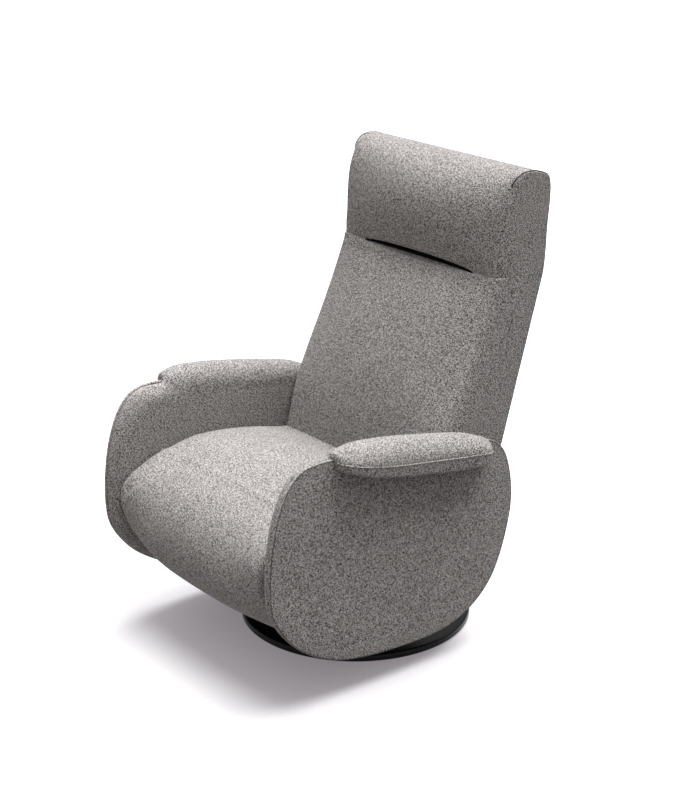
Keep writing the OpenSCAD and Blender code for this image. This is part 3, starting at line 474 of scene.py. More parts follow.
def loft_faces(rows, n):
    """The faces between rows rings of n points each, and one face over each end."""
    faces = []
    for i in range(rows - 1):
        for j in range(n):
            k = (j + 1) % n
            faces.append((i * n + j, i * n + k, (i + 1) * n + k, (i + 1) * n + j))
    faces.append(tuple(range(n - 1, -1, -1)))
    faces.append(tuple((rows - 1) * n + j for j in range(n)))
    return faces


def finer(stack):
    """Twice the points round each ring and twice the rings, on smooth curves through the given ones."""
    mid = catmull(np.roll(stack, 1, 1), stack, np.roll(stack, -1, 1), np.roll(stack, -2, 1), 0.5)
    round_ = np.stack([stack, mid], 2).reshape(len(stack), -1, 3)
    before = np.concatenate([round_[:1], round_[:-2]])
    after = np.concatenate([round_[2:], round_[-1:]])
    mid = catmull(before, round_[:-1], round_[1:], after, 0.5)
    out = np.empty((2 * len(round_) - 1, round_.shape[1], 3))
    out[0::2], out[1::2] = round_, mid
    return out


def refine(o):
    """Replaces the mesh of a loft by one of half the spacing, in the place that the cloth has taken."""
    rows, n = shape_of[o.name]
    stack = finer(coords(o).reshape(rows, n, 3) / MM)
    old = o.data
    new = new_object(o.name + "_fine", stack.reshape(-1, 3), loft_faces(len(stack), stack.shape[1]), old.materials[0])
    o.data = new.data
    bpy.data.objects.remove(new)
    bpy.data.meshes.remove(old)
    shape_of[o.name] = stack.shape[:2]


CLOTH_FRAMES, HELD_LEVELS = 16, 20


def swell(o, rule, inset, cap, pressure=40.0):
    """Blows the cover up as cloth, from a start that lies inset millimetres inside, and by cap millimetres at most.
    rule says how firmly each point is held, from its place in millimetres and the way it faces: 1 is fixed."""
    place, normal = coords(o), normals(o)
    held = np.clip(rule(*(place / MM).T, normal), 0, 1)
    start = place - normal * (inset * MM * (1 - held))[:, None]
    set_coords(o, start)
    group = o.vertex_groups.new(name="held")
    level = np.round(held * HELD_LEVELS).astype(int)
    for k in range(1, HELD_LEVELS + 1):
        rows = np.nonzero(level == k)[0]
        if len(rows):
            group.add(rows.tolist(), k / HELD_LEVELS, "REPLACE")
    mod = o.modifiers.new("cloth", "CLOTH")
    cloth = mod.settings
    cloth.quality = 4
    cloth.mass = 0.02
    cloth.tension_stiffness = cloth.compression_stiffness = 5
    cloth.shear_stiffness = 8
    cloth.bending_stiffness = 1.5
    cloth.use_pressure = True
    cloth.uniform_pressure_force = pressure
    cloth.vertex_group_mass = "held"
    cloth.pin_stiffness = 1
    cloth.effector_weights.gravity = 0
    mod.collision_settings.use_collision = False
    mod.collision_settings.use_self_collision = False
    mod.point_cache.frame_start = 1
    mod.point_cache.frame_end = CLOTH_FRAMES
    for f in range(1, CLOTH_FRAMES + 1):
        scene.frame_set(f)
    result = bpy.data.meshes.new_from_object(o.evaluated_get(bpy.context.evaluated_depsgraph_get()))
    moved = read_vectors(result.vertices, "co") - start
    bpy.data.meshes.remove(result)
    o.modifiers.clear()
    o.vertex_groups.clear()
    scene.frame_set(1)
    far = np.linalg.norm(moved, axis=1, keepdims=True)
    moved *= np.minimum(1, cap * MM / np.maximum(far, 1e-9))
    set_coords(o, start + moved)


shape_of = {}  # how many rings and how many points a ring each loft has


def rings_object(name, rings, material, caps, puff=(0, 0)):
    """A closed loft over rings of equal count. Each end is filled by rings that shrink to the middle, as many as caps
    says, and stands out by puff millimetres there."""
    rings = [np.asarray(r, float) for r in rings]
    for end in (0, -1):
        base = rings[end]
        c = base.mean(0)
        extra = []
        for k in range(1, caps[end] + 1):
            f = 1 - k / caps[end]
            r = c + (base - c) * max(f, 0.02)
            r[:, 0] += puff[end] * (1 - f * f)
            extra.append(r)
        rings = (extra[::-1] + rings) if end == 0 else (rings + extra)
    shape_of[name] = (len(rings), len(rings[0]))
    return new_object(name, np.concatenate(rings), loft_faces(*shape_of[name]), material)


def section_loft(name, profile, half, radius, material, step=9.0, arc=5, slide=None, caps=(7, 7), puff=0.0,
                 depth=None, bridge=None):
    """A closed side profile lofted across the chair, with its rim rounded by radius (one value for each point).
    profile(X) gives the (n, 2) points in y and z for one X a point; slide scales the rim's inset in y, depth is the
    inset at the end, where it isn't the radius, and over the points from bridge[0] to bridge[1] the inset's way turns
    evenly, whatever the profile does there."""
    n = len(radius)
    depth = radius if depth is None else depth
    mid = profile(np.zeros(n))
    tangent = np.roll(mid, -1, 0) - np.roll(mid, 1, 0)
    normal = np.stack([tangent[:, 1], -tangent[:, 0]], 1)
    normal /= np.maximum(np.linalg.norm(normal, axis=1, keepdims=True), 1e-9)
    area = 0.5 * np.sum(mid[:, 0] * np.roll(mid[:, 1], -1) - np.roll(mid[:, 0], -1) * mid[:, 1])
    if area < 0:
        normal = -normal
    if bridge is not None:
        i, j = bridge
        f = smoothstep(np.arange(j - i + 1) / (j - i))[:, None]
        normal[i:j + 1] = normal[i] * (1 - f) + normal[j] * f
        normal[i:j + 1] /= np.linalg.norm(normal[i:j + 1], axis=1, keepdims=True)
    if slide is not None:
        y = normal[:, 0] * slide
        upright = np.where((slide > 0) | (np.abs(normal[:, 1]) > 0.5), 1.0, 0.0)
        normal = np.stack([y, np.sign(normal[:, 1]) * np.sqrt(np.maximum(0, 1 - y * y)) * upright], 1)
    count = int(2 * half / step)
    count += count % 2
    flat = half - radius

    def ring(x, inset):
        return np.column_stack([x, profile(x / half) - normal * inset[:, None]])

    def rim(k, side):
        a = math.pi / 2 * k / arc
        return ring(side * (flat + radius * math.sin(a)), depth * (1 - math.cos(a)))

    rings = [rim(k, -1) for k in range(arc, 0, -1)]
    rings += [ring(flat * f, np.zeros(n)) for f in np.linspace(-1, 1, count + 1)]
    rings += [rim(k, 1) for k in range(1, arc + 1)]
    return rings_object(name, rings, material, caps, (-puff, puff))


def tube(name, path, r, material, closed=False, sides=8):
    """A round cord of cloth along a path in millimetres; its open ends are drawn in."""
    p = np.asarray(path, float)
    n = len(p)
    if closed:
        t = np.roll(p, -1, 0) - np.roll(p, 1, 0)
    else:
        t = np.gradient(p, axis=0)
    t /= np.maximum(np.linalg.norm(t, axis=1, keepdims=True), 1e-9)
    u = np.cross(t, np.array([1.0, 0.0, 0.0]))
    weak = np.linalg.norm(u, axis=1) < 0.2
    u[weak] = np.cross(t[weak], np.array([0.0, 0.0, 1.0]))
    u /= np.linalg.norm(u, axis=1, keepdims=True)
    w = np.cross(t, u)
    rr = np.full(n, r)
    if not closed:
        rr[0] = rr[-1] = r * 0.35
    a = np.arange(sides) * 2 * math.pi / sides
    rings = [p[i] + rr[i] * (np.cos(a)[:, None] * u[i] + np.sin(a)[:, None] * w[i]) for i in range(n)]
    verts = np.concatenate(rings)
    faces = []
    for i in range(n if closed else n - 1):
        b = (i + 1) % n
        for j in range(sides):
            k = (j + 1) % sides
            faces.append((i * sides + j, i * sides + k, b * sides + k, b * sides + j))
    if not closed:
        faces.append(tuple(range(sides)))
        faces.append(tuple((n - 1) * sides + j for j in range(sides)))
    return new_object(name, verts, faces, material)


def finish_piece(o, body, replaces=()):
    """Says which body a piece rides on and which CAD nodes it stands for."""
    keep_rest(o)
    if body:
        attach(o, body)
    if replaces:
        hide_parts(*replaces)


# ---------------------------------------------------------------- side outline of the arms
ARM_OUTLINE = [[0, 0.471], [0.019, 0.731], [0.081, 0.932], [0.186, 1], [0.439, 0.964], [0.787, 0.902], [0.932, 0.848],
               [0.991, 0.701], [0.996, 0.471], [0.917, 0.178], [0.758, 0.024], [0.536, 0], [0.294, 0.038],
               [0.128, 0.148], [0.026, 0.311]]
ARM_LENGTH, ARM_FRONT, ARM_BASE, ARM_RISE, ARM_ROUND = 690, 495, 74, 501, 44
ARM_OUTER, ARM_INNER, CORE_OUTER, CORE_INNER = 331.0, 285.0, 320.0, 302.0
outline = closed_curve([[ARM_LENGTH * y - ARM_FRONT, ARM_BASE + ARM_RISE * z] for y, z in ARM_OUTLINE], 12)
arm_mid = (outline.max(0) + outline.min(0)) / 2


# ---------------------------------------------------------------- seat and legrest
# shares of the seat's height and of its crown run from its front to its rear edge
SEAT_BOTTOM = 304.3
SEAT_FRONT, SEAT_REAR, SEAT_H, SEAT_CROWN = 364.0, 8.0, 442.0, 20.0
SEAT_HALF = 282.0
EDGE_ROLL, EDGE_FLATTEN, EDGE_TIGHT = 22.0, 0.9, 3
N_SEAT_REAR, N_SEAT_TOP, N_SEAT_FRONT, N_SEAT_BASE = 12, 44, 12, 36
SEAT_TOP = [0.89, 0.955, 1, 0.995, 0.965, 0.92, 0.86, 0.79, 0.725]
SEAT_CROWN_AT = [0.55, 0.72, 0.88, 0.97, 1, 0.94, 0.76, 0.42, 0.02]
NOSE_DEPTH, LEG_LOW, LEG_EDGE = 122.0, 146.0, 15
N_LEG_FRONT, N_LEG_REAR = 70, 24
# the legrest's nose in shares of its depth and height, from the top round to the foot: at the sides and in the middle
LEG_PROFILE = [[0, 1], [0.25, 0.968], [0.52, 0.915], [0.77, 0.853], [0.94, 0.775], [1, 0.685], [0.985, 0.565],
               [0.885, 0.42], [0.70, 0.27], [0.46, 0.125], [0.24, 0.02], [0.1, 0.0], [0, 0.03]]
LEG_MIDDLE = [[0, 1], [0.25, 0.94], [0.48, 0.86], [0.68, 0.76], [0.82, 0.65], [0.92, 0.54], [0.975, 0.43],
              [0.96, 0.325], [0.78, 0.215], [0.50, 0.105], [0.24, 0.02], [0.1, 0.0], [0, 0.03]]
SEAT_RISE = SEAT_H - SEAT_BOTTOM
LEG_TOP = SEAT_BOTTOM + SEAT_RISE * SEAT_TOP[0]
LEG_DROP = LEG_TOP - LEG_LOW


def rim_drop(X):
    """How far the top falls beside the arms; X runs from -1 to 1 across the chair."""
    return 3.0 * np.abs(X) ** 10


def spans(*counts):
    """The slices of a profile's points, one for each of its parts."""
    ends = np.cumsum((0,) + counts)
    return [slice(a, b) for a, b in zip(ends, ends[1:])]


def seat_profile(X):
    rear, top, front, base = spans(N_SEAT_REAR, N_SEAT_TOP, N_SEAT_FRONT, N_SEAT_BASE)
    length = SEAT_FRONT - SEAT_REAR

    def wall(y, edge, f):
        return np.column_stack([np.full(len(f), y), SEAT_BOTTOM + (edge - SEAT_BOTTOM) * f])

    x = X[rear]
    edge = SEAT_BOTTOM + SEAT_RISE * SEAT_TOP[-1] + SEAT_CROWN * (1 - x * x) * SEAT_CROWN_AT[-1] - rim_drop(x)
    parts = [wall(-SEAT_REAR, edge, np.arange(N_SEAT_REAR) / N_SEAT_REAR)]
    x = X[top]
    s = 1 - np.arange(N_SEAT_TOP) / N_SEAT_TOP
    crown = SEAT_CROWN * (1 - x * x) * share_at(SEAT_CROWN_AT, s)
    z = SEAT_BOTTOM + SEAT_RISE * share_at(SEAT_TOP, s) + crown - rim_drop(x)
    parts.append(np.column_stack([-SEAT_FRONT + length * s, z]))
    x = X[front]
    edge = LEG_TOP + SEAT_CROWN * SEAT_CROWN_AT[0] * (1 - x * x) - rim_drop(x)
    parts.append(wall(-SEAT_FRONT, edge, 1 - np.arange(N_SEAT_FRONT) / N_SEAT_FRONT))
    y = -SEAT_FRONT + length * (np.arange(N_SEAT_BASE) / N_SEAT_BASE)
    parts.append(np.column_stack([y, np.full(N_SEAT_BASE, SEAT_BOTTOM)]))
    return np.concatenate(parts)


def leg_profile(X):
    front, rear = spans(N_LEG_FRONT, N_LEG_REAR)
    x = X[front]
    s = np.arange(N_LEG_FRONT) / N_LEG_FRONT
    a = 1 - x * x
    middle = smoothstep(a / 0.8)[:, None]
    q = share_at(LEG_PROFILE, s) * (1 - middle) + share_at(LEG_MIDDLE, s) * middle
    out, up = q[:, 0], q[:, 1]
    y = -SEAT_FRONT - NOSE_DEPTH * out * (1 + 0.11 * a) + rim_drop(x) * out / 2
    crown = SEAT_CROWN * SEAT_CROWN_AT[0] * a
    z = LEG_LOW + LEG_DROP * up + crown * up ** 2 - rim_drop(x) * up + 12 * np.abs(x) ** 5 * (1 - up)
    nose = np.column_stack([y, z])
    x = X[rear]
    a = 1 - x * x
    crown = SEAT_CROWN * SEAT_CROWN_AT[0] * a
    low = LEG_LOW + LEG_DROP * 0.03 + crown * 0.0009 - rim_drop(x) * 0.03 + 12 * np.abs(x) ** 5 * 0.97
    top = LEG_TOP + crown - rim_drop(x)
    f = np.arange(N_LEG_REAR) / N_LEG_REAR
    return np.concatenate([nose, np.column_stack([np.full(N_LEG_REAR, -SEAT_FRONT), low + (top - low) * f])])


def near_joint(y):
    """0 at the joint between seat and legrest, 1 away from it."""
    return smoothstep(np.abs(y + SEAT_FRONT) / 45)


def soft_loft(name, profile, radius, slide):
    return section_loft(name, profile, SEAT_HALF, radius, fabric, slide=slide, arc=7, depth=radius * EDGE_FLATTEN)


def build_seat():
    rear, top, front, base = spans(N_SEAT_REAR, N_SEAT_TOP, N_SEAT_FRONT, N_SEAT_BASE)
    n = base.stop
    radius = np.full(n, float(EDGE_TIGHT))
    radius[top] = EDGE_ROLL
    radius[rear] = EDGE_TIGHT + (EDGE_ROLL - EDGE_TIGHT) * np.arange(N_SEAT_REAR) / N_SEAT_REAR
    radius[front] = EDGE_TIGHT + (EDGE_ROLL - EDGE_TIGHT) * (1 - np.arange(N_SEAT_FRONT) / N_SEAT_FRONT)
    slide = near_joint(seat_profile(np.zeros(n))[:, 0])
    slide[base] = 1
    return soft_loft("seat_upholstery", seat_profile, radius, slide)


def build_legrest():
    n = N_LEG_FRONT + N_LEG_REAR
    foot = 18
    radius = np.full(n, EDGE_ROLL)
    radius[N_LEG_FRONT:] = LEG_EDGE
    radius[N_LEG_FRONT - foot:N_LEG_FRONT] = EDGE_ROLL - (EDGE_ROLL - LEG_EDGE) * np.arange(foot) / foot
    return soft_loft("legrest_upholstery", leg_profile, radius, near_joint(leg_profile(np.zeros(n))[:, 0]))


def seat_held(x, y, z, n):
    edge = smoothstep((np.abs(x) - (SEAT_HALF - 34)) / 30)
    low = smoothstep((SEAT_BOTTOM + 60 - z) / 40)
    rear = smoothstep((y + SEAT_REAR + 40) / 30)
    joint = smoothstep((-y - (SEAT_FRONT - 30)) / 26)
    return np.maximum.reduce([edge, low, rear, joint, np.full(len(x), 0.02)])


def leg_held(x, y, z, n):
    edge = smoothstep((np.abs(x) - (SEAT_HALF - 34)) / 30)
    joint = smoothstep((y + SEAT_FRONT + 34) / 30)
    return np.maximum.reduce([edge, joint, np.full(len(x), 0.02)])


def hug_arms(o):
    """The cloth near the arms follows part of the way into the rounded edge of the arms."""
    share = 0.35
    co = coords(o) / MM
    near = np.full(len(co), 1e9)
    for q in outline[::2]:
        near = np.minimum(near, (co[:, 1] - q[0]) ** 2 + (co[:, 2] - q[1]) ** 2)
    d = np.sqrt(near)
    a = np.arccos(np.clip(1 - d / ARM_ROUND, 0, 1))
    room = (CORE_OUTER - (CORE_OUTER - ARM_INNER) * np.sin(a) - ARM_INNER) * share
    co[:, 0] += np.sign(co[:, 0]) * room * smoothstep((np.abs(co[:, 0]) - (SEAT_HALF - 70)) / 60)
    set_coords(o, co * MM)


seat = build_seat()
legrest = build_legrest()
swell(seat, seat_held, 3.0, 26.0)
swell(legrest, leg_held, 3.0, 26.0)
hug_arms(seat)
hug_arms(legrest)


# ---------------------------------------------------------------- back and head in one cover
BACK_HALF = 283.0
BACK_Z0, FOLD, HEAD_TOP = 398.0, 860.0, 1099.0
BACK_H, HEAD_H = FOLD - BACK_Z0, HEAD_TOP - FOLD
# y of the front and of the rear face at the foot of the back, and how far each leans to the rear up to the fold
FRONT_FOOT, FRONT_LEAN, REAR_FOOT, REAR_LEAN = -5, 186, 186, 135
LUMBAR, BACK_BULGE = 17, 12
HEAD_Y, HEAD_DEPTH = 184, 137
LUMBAR_AT = [0, 0.55, 0.92, 0.88, 0.62, 0.32, 0.10, 0, 0]
BULGE_AT = [0, 0.6, 0.9, 1, 1, 1, 1, 0.9, 0.7]
HEAD_FRONT = [[0, 0.01], [0, 0.12], [0.018, 0.25], [0.028, 0.42], [0.055, 0.60], [0.10, 0.73], [0.18, 0.84],
              [0.29, 0.935], [0.45, 0.988], [0.58, 1]]
HEAD_REAR = [[1, 0.01], [1.025, 0.13], [1.04, 0.26], [1.052, 0.44], [1.08, 0.60], [1.095, 0.73], [1.09, 0.85],
             [1.02, 0.94], [0.80, 0.988], [0.66, 1]]
HEAD_BULGE, HEAD_BULGE_AT = 26.0, [0.10, 0.50, 0.78, 0.97, 1, 0.88, 0.62, 0.32, 0.10, 0]
SLOT_X = 205.0
N_BACK, N_SLOT, N_HEAD, N_TOP, N_REAR_HEAD, N_REAR, N_BASE = 56, 17, 44, 3, 32, 52, 18
BACK_PARTS = spans(N_BACK, N_SLOT, N_HEAD, N_TOP, N_REAR_HEAD, N_REAR, N_BASE)
N_ROUND = BACK_PARTS[-1].stop
FACE_EDGE, REAR_EDGE = 20, 8


def slot_open(x_mm):
    """1 at the slot's middle, 0 from its ends outward."""
    a = np.clip(np.abs(x_mm) / SLOT_X, 0, 1)
    return (1 - a ** 2.2) ** 0.8


def head_start(w):
    """Where on HEAD_FRONT, from 0 to 1, the head's face begins over a slot that is open by w."""
    return ((8 + 15 * w) / HEAD_H - 0.01) / 0.11 / 9


def back_profile(X):
    face, slot, head, top, rear_head, rear, base = BACK_PARTS
    x_mm = X * BACK_HALF
    open_all = slot_open(x_mm)
    crease_all = np.clip((BACK_HALF - 6 - np.abs(x_mm)) / 30, 0, 1)
    bulge_all = 1 - np.clip(np.abs(X) / 0.93, 0, 1) ** 2

    top_s = (FOLD - 5 - 6 * open_all[face] - BACK_Z0) / BACK_H
    s = top_s * np.arange(N_BACK) / N_BACK
    y = FRONT_FOOT + FRONT_LEAN * s - LUMBAR * share_at(LUMBAR_AT, s)
    y = y - BACK_BULGE * share_at(BULGE_AT, s) * bulge_all[face]
    parts = [np.column_stack([y, BACK_Z0 + BACK_H * s])]

    # the slot: in under the head's edge, round its bottom and out to the head's face, or a shallow crease at its ends
    w, c, a = open_all[slot], crease_all[slot], bulge_all[slot]
    yb = FRONT_FOOT + FRONT_LEAN * 0.985 - BACK_BULGE * 0.7 * a
    yh = HEAD_Y - HEAD_BULGE * share_at(HEAD_BULGE_AT, head_start(w)) * a
    way = np.stack([
        np.stack([yb, FOLD - 5 - 6 * w], 1),
        np.stack([yb + 1.0 + c, FOLD - 2.2 - 5 * w], 1),
        np.stack([yb + 0.5 + 2.5 * c + 9 * w, FOLD + 0.2 - 3.6 * w], 1),
        np.stack([yb + 0.5 + 4 * c + 30 * w, FOLD + 1.0 - 1.5 * w], 1),
        np.stack([yb + 0.6 + 3.8 * c + 30 * w, FOLD + 2.0 + 3.5 * w], 1),
        np.stack([yh * 0.5 + yb * 0.5 + 1 + 2.0 * c + 12 * w, FOLD + 3.6 + 7 * w], 1),
        np.stack([yh + 0.5 + 1.2 * c + 3 * w, FOLD + 5.0 + 11.5 * w], 1),
        np.stack([yh, FOLD + 8 + 15 * w], 1)], 0)
    t = np.arange(N_SLOT) / N_SLOT * (len(way) - 1)
    i = np.minimum(np.floor(t).astype(int), len(way) - 2)
    f = (t - i)[:, None]
    j = np.arange(N_SLOT)
    last = len(way) - 1
    before, after = way[np.maximum(i - 1, 0), j], way[np.minimum(i + 2, last), j]
    parts.append(catmull(before, way[i, j], way[i + 1, j], after, f))

    s0 = head_start(open_all[head])
    s = s0 + (1 - s0) * (np.arange(N_HEAD) / N_HEAD)
    q = share_at(HEAD_FRONT, s)
    y = HEAD_Y + HEAD_DEPTH * q[:, 0] - HEAD_BULGE * share_at(HEAD_BULGE_AT, s) * bulge_all[head]
    parts.append(np.column_stack([y, FOLD + HEAD_H * q[:, 1]]))

    f = np.arange(N_TOP) / N_TOP
    z = FOLD + HEAD_H * (1 + 0.002 * np.sin(math.pi * f))
    parts.append(np.column_stack([HEAD_Y + HEAD_DEPTH * (0.58 + 0.08 * f), z]))

    q = share_at(HEAD_REAR, 1 - np.arange(N_REAR_HEAD) / N_REAR_HEAD)
    parts.append(np.column_stack([HEAD_Y + HEAD_DEPTH * q[:, 0], FOLD + HEAD_H * q[:, 1]]))

    s = 1 - np.arange(N_REAR) / N_REAR
    parts.append(np.column_stack([REAR_FOOT + REAR_LEAN * s + 2.0 * bulge_all[rear], BACK_Z0 + BACK_H * s]))

    f = np.arange(N_BASE) / N_BASE
    parts.append(np.column_stack([REAR_FOOT - (REAR_FOOT - FRONT_FOOT) * f, np.full(N_BASE, BACK_Z0)]))
    return np.concatenate(parts)


def build_back():
    slot, head = BACK_PARTS[1:3]
    radius = np.full(N_ROUND, float(REAR_EDGE))
    radius[:slot.stop] = FACE_EDGE
    roll = smoothstep((np.arange(N_HEAD) / N_HEAD - 0.62) / 0.3)
    radius[head] = REAR_EDGE + (FACE_EDGE - REAR_EDGE) * (1 - roll)
    depth = radius * (1 + 1.1 * smoothstep((radius - 9) / 11))
    return section_loft("back_upholstery", back_profile, BACK_HALF, radius, fabric, puff=0.8, arc=8, depth=depth,
                        bridge=(slot.start - 7, slot.stop + 7))


def paint_slot_shade(o):
    """Paints the bottom of the slot between back and head black: painted shade, dark cloth where the slot's shadow
    falls.
    """
    rows, n = shape_of[o.name]
    k = n // N_ROUND
    o.data.materials.append(lining)
    x = np.abs(coords(o).reshape(rows, n, 3)[:, N_BACK * k, 0] / MM)
    index = np.zeros(len(o.data.polygons), int)
    for i in range(rows - 1):
        if max(x[i], x[i + 1]) < SLOT_X - 14:
            # the faces at the slot's bottom take the black cloth: painted shade
            index[i * n + (N_BACK + 6) * k:i * n + (N_BACK + 10) * k] = 1
    o.data.polygons.foreach_set("material_index", index)


def back_held(x, y, z, n):
    edge = smoothstep((np.abs(x) - (BACK_HALF - 36)) / 30)
    low = smoothstep((BACK_Z0 + 90 - z) / 60)
    rear = smoothstep((n[:, 1] + 0.1) / 0.3)
    fold = smoothstep(1 - np.abs(z - FOLD) / 46)
    return np.maximum.reduce([edge, low, rear, fold, np.full(len(x), 0.02)])


back = build_back()
swell(back, back_held, 3.0, 22.0, pressure=20.0)


# ---------------------------------------------------------------- arms
def arm_ring(x, d):
    """The arms' side outline at x, drawn in by d."""
    q = outline - arm_mid
    q = arm_mid + q * (1 - d / np.linalg.norm(q, axis=1))[:, None]
    return np.column_stack([np.full(len(q), x), q])


def arm_top_at(y):
    near = outline[outline[:, 1] > ARM_BASE + ARM_RISE / 2]
    order = np.argsort(near[:, 0])
    return np.interp(y, near[order, 0], near[order, 1])


PAD_Y0, PAD_LEN, PAD_CROWN, PAD_BAND, PAD_OUT = -325.0, 438.0, 40.0, 31.0, 44
# where the crest stands across the pad, how far the pad reaches over the arm's inner edge in degrees of its rounding,
# and how far its lower rim is drawn in from its piping
PAD_CREST, PAD_WRAP, PAD_LIP = 0.42, 65, 2
# from the pad's front to its rear end: shares of its crown for the top and the piping, and of its band below that
PAD_TOP = [0.42, 0.80, 0.90, 0.88, 0.80, 0.70, 0.60, 0.46, 0.14]
PAD_SEAM = [-0.10, -0.24, -0.36, -0.43, -0.46, -0.49, -0.51, -0.47, -0.50]
PAD_BAND_AT = [0.60, 0.78, 0.90, 0.98, 1, 1.05, 1.08, 1.02, 0.70]


def pad_facts(s):
    """Of the pad's section at s, from 0 at its front to 1: its y, how full it is, the arm's top, the pad's top, the
    piping, the band's lower edge and the outermost x."""
    def rounded(v, a):
        return 1.0 if v >= a else math.sqrt(max(0, 1 - (1 - v / a) ** 2))
    y = PAD_Y0 + PAD_LEN * s
    full = 0.12 + 0.88 * min(rounded(s, 0.13), rounded(1 - s, 0.11))
    z0 = arm_top_at(y) + 0.3
    top = z0 + PAD_CROWN * float(share_at(PAD_TOP, s))
    seam = z0 + PAD_CROWN * float(share_at(PAD_SEAM, s))
    low = seam - PAD_BAND * float(share_at(PAD_BAND_AT, s))
    return y, full, z0, top, seam, low, ARM_OUTER + PAD_LIP + PAD_OUT * full


def pad_ring(s):
    y, full, z0, top, seam, low, xo = pad_facts(s)
    turn = math.radians(PAD_WRAP * (0.35 + 0.65 * full))
    span = CORE_OUTER - ARM_INNER
    xi = CORE_OUTER - span * (0.5 + 0.5 * full)
    zi = z0 - ARM_ROUND * (1 - math.cos(turn))
    xm = xi + (xo - xi) * PAD_CREST
    pts = []
    for k in range(25):
        a = math.pi * (1 - k / 24)
        over, up = math.cos(a), max(0, math.sin(a))
        if a > math.pi / 2:
            pts.append([xm - (xm - xi) * abs(over), y, zi + (top - zi) * up ** 0.8])
        else:
            pts.append([xm + (xo - xm) * max(0, over) ** 0.85, y, seam + (top - seam) * up ** 0.95])
    pts += [[xo - PAD_LIP * f, y, seam + (low - seam) * f] for f in (0.35, 0.7, 1.0)]
    root = ARM_OUTER + 0.6
    pts += [[xo - PAD_LIP + (root - xo + PAD_LIP) * f, y, low + PAD_LIP * f] for f in (0.25, 0.5, 0.75, 1.0)]
    pts += [[root, y, (low + z0) / 2], [root, y, z0 - 3], [ARM_OUTER - 6, y, z0 - 4]]
    for k in range(1, 9):
        a = turn * k / 8
        pts.append([max(xi, CORE_OUTER - span * math.sin(a)), y, z0 - 4 - ARM_ROUND * (1 - math.cos(a))])
    return np.array(pts)


def pad_held(x, y, z, n):
    low = smoothstep((arm_top_at(y) + 6 - z) / 8)
    ends = smoothstep(1 - np.minimum(y - PAD_Y0, PAD_Y0 + PAD_LEN - y) / 30)
    return np.maximum.reduce([low, ends, np.full(len(x), 0.03)])


def eased(count):
    """Shares from 0 to 1, closer together at both ends."""
    return [(1 - math.cos(math.pi * f)) / 2 for f in np.linspace(0.0, 1.0, count)]


def joined(a, b):
    """Adds the mesh of b to that of a."""
    bm = bmesh.new()
    bm.from_mesh(a.data)
    bm.from_mesh(b.data)
    bm.to_mesh(a.data)
    bm.free()
    bpy.data.objects.remove(b)


def neighbours(o):
    """A row for each point with the points next to it, filled up with the point itself."""
    bm = bmesh.new()
    bm.from_mesh(o.data)
    bm.verts.ensure_lookup_table()
    link = [[e.other_vert(v).index for e in v.link_edges] for v in bm.verts]
    bm.free()
    size = max(len(x) for x in link)
    return np.array([x + [i] * (size - len(x)) for i, x in enumerate(link)])


SMOOTH_LEAST = 0.12


def melt_pad(o):
    """Smooths the whole skin slightly, and so much where the pad's top runs into the arm that no seam shows."""
    co = coords(o) / MM
    index = neighbours(o)
    x, y, z = co.T
    top = arm_top_at(y)
    inside = smoothstep((z - (top - 75)) / 35) * smoothstep((ARM_OUTER + 8 - x) / 12)
    inside *= smoothstep((y - (PAD_Y0 - 60)) / 40) * smoothstep((PAD_Y0 + PAD_LEN + 60 - y) / 40)
    ends = smoothstep(1 - np.minimum(np.abs(y - PAD_Y0), np.abs(y - PAD_Y0 - PAD_LEN)) / 60)
    weight = np.clip(SMOOTH_LEAST + (1 - SMOOTH_LEAST) * inside * (0.55 + 0.45 * ends), 0, 1)
    weight[(x < CORE_OUTER + 1) & (z < top - 90)] = SMOOTH_LEAST
    for step in range(26):
        # the first steps, in and out by turns, only take the voxels' stairs away
        first = step < 6
        w = np.maximum(weight, 0.5) if first else weight
        co = co + (co[index].mean(1) - co) * w[:, None] * (-0.55 if first and step % 2 else 0.6)
    set_coords(o, co * MM)


def build_arm_inner():
    fan = [arm_ring(CORE_OUTER - (CORE_OUTER - ARM_INNER) * math.sin(a), ARM_ROUND * (1 - math.cos(a)))
           for a in np.radians(np.linspace(0, 90, 13))]
    sides = [arm_ring(CORE_INNER, 14), arm_ring(CORE_OUTER, 14), arm_ring(CORE_OUTER, 7)]
    skin = rings_object("left_arm_upholstery", sides + fan, fabric, (10, 14))
    pad = rings_object("arm_pad", [pad_ring(s) for s in eased(45)], fabric, (2, 2))
    swell(pad, pad_held, 1.5, 12.0)
    joined(skin, pad)
    remesh(skin, 0.0042)
    melt_pad(skin)
    return skin


def build_arm_outer():
    """The outer panel of an arm, its edge turned in to a thin gap beside the inner cover."""
    rows = [(CORE_OUTER + 0.3, 1.2), (CORE_OUTER + 1.6, 0.2), (CORE_OUTER + 4, 0), (ARM_OUTER - 4.2, 0),
            (ARM_OUTER - 2.9, 0.5), (ARM_OUTER - 2.1, 1.8), (ARM_OUTER - 1.5, 5), (ARM_OUTER - 0.9, 13),
            (ARM_OUTER - 0.45, 30), (ARM_OUTER - 0.1, 58), (ARM_OUTER, 90)]
    return rings_object("left_arm_outer_upholstery", [arm_ring(x, d) for x, d in rows], fabric, (4, 12))


def pad_piping(s):
    y, full, z0, top, seam, low, xo = pad_facts(s)
    return [xo - 0.3, y, seam]


# the arms' welts are in the dark cloth: painted shade of the seam's groove
LEFT_ARM = (build_arm_inner(), build_arm_outer(),
            tube("left_arm_welt", arm_ring(ARM_OUTER - 1.9, 2.4), 1.1, painted_seam_shade, closed=True),
            tube("left_arm_pad_welt", [pad_piping(s) for s in eased(90)], 1.5, piping))
RIGHT_ARM = [mirrored(o, o.name.replace("left", "right")) for o in LEFT_ARM]


# ---------------------------------------------------------------- rear panels
def slab(name, side, half):
    """A panel of cloth over board: a closed side outline lofted across, its side rims rounded."""
    return section_loft(name, lambda X: side, half, np.full(len(side), 2.0), fabric, step=14, arc=3, caps=(3, 3))


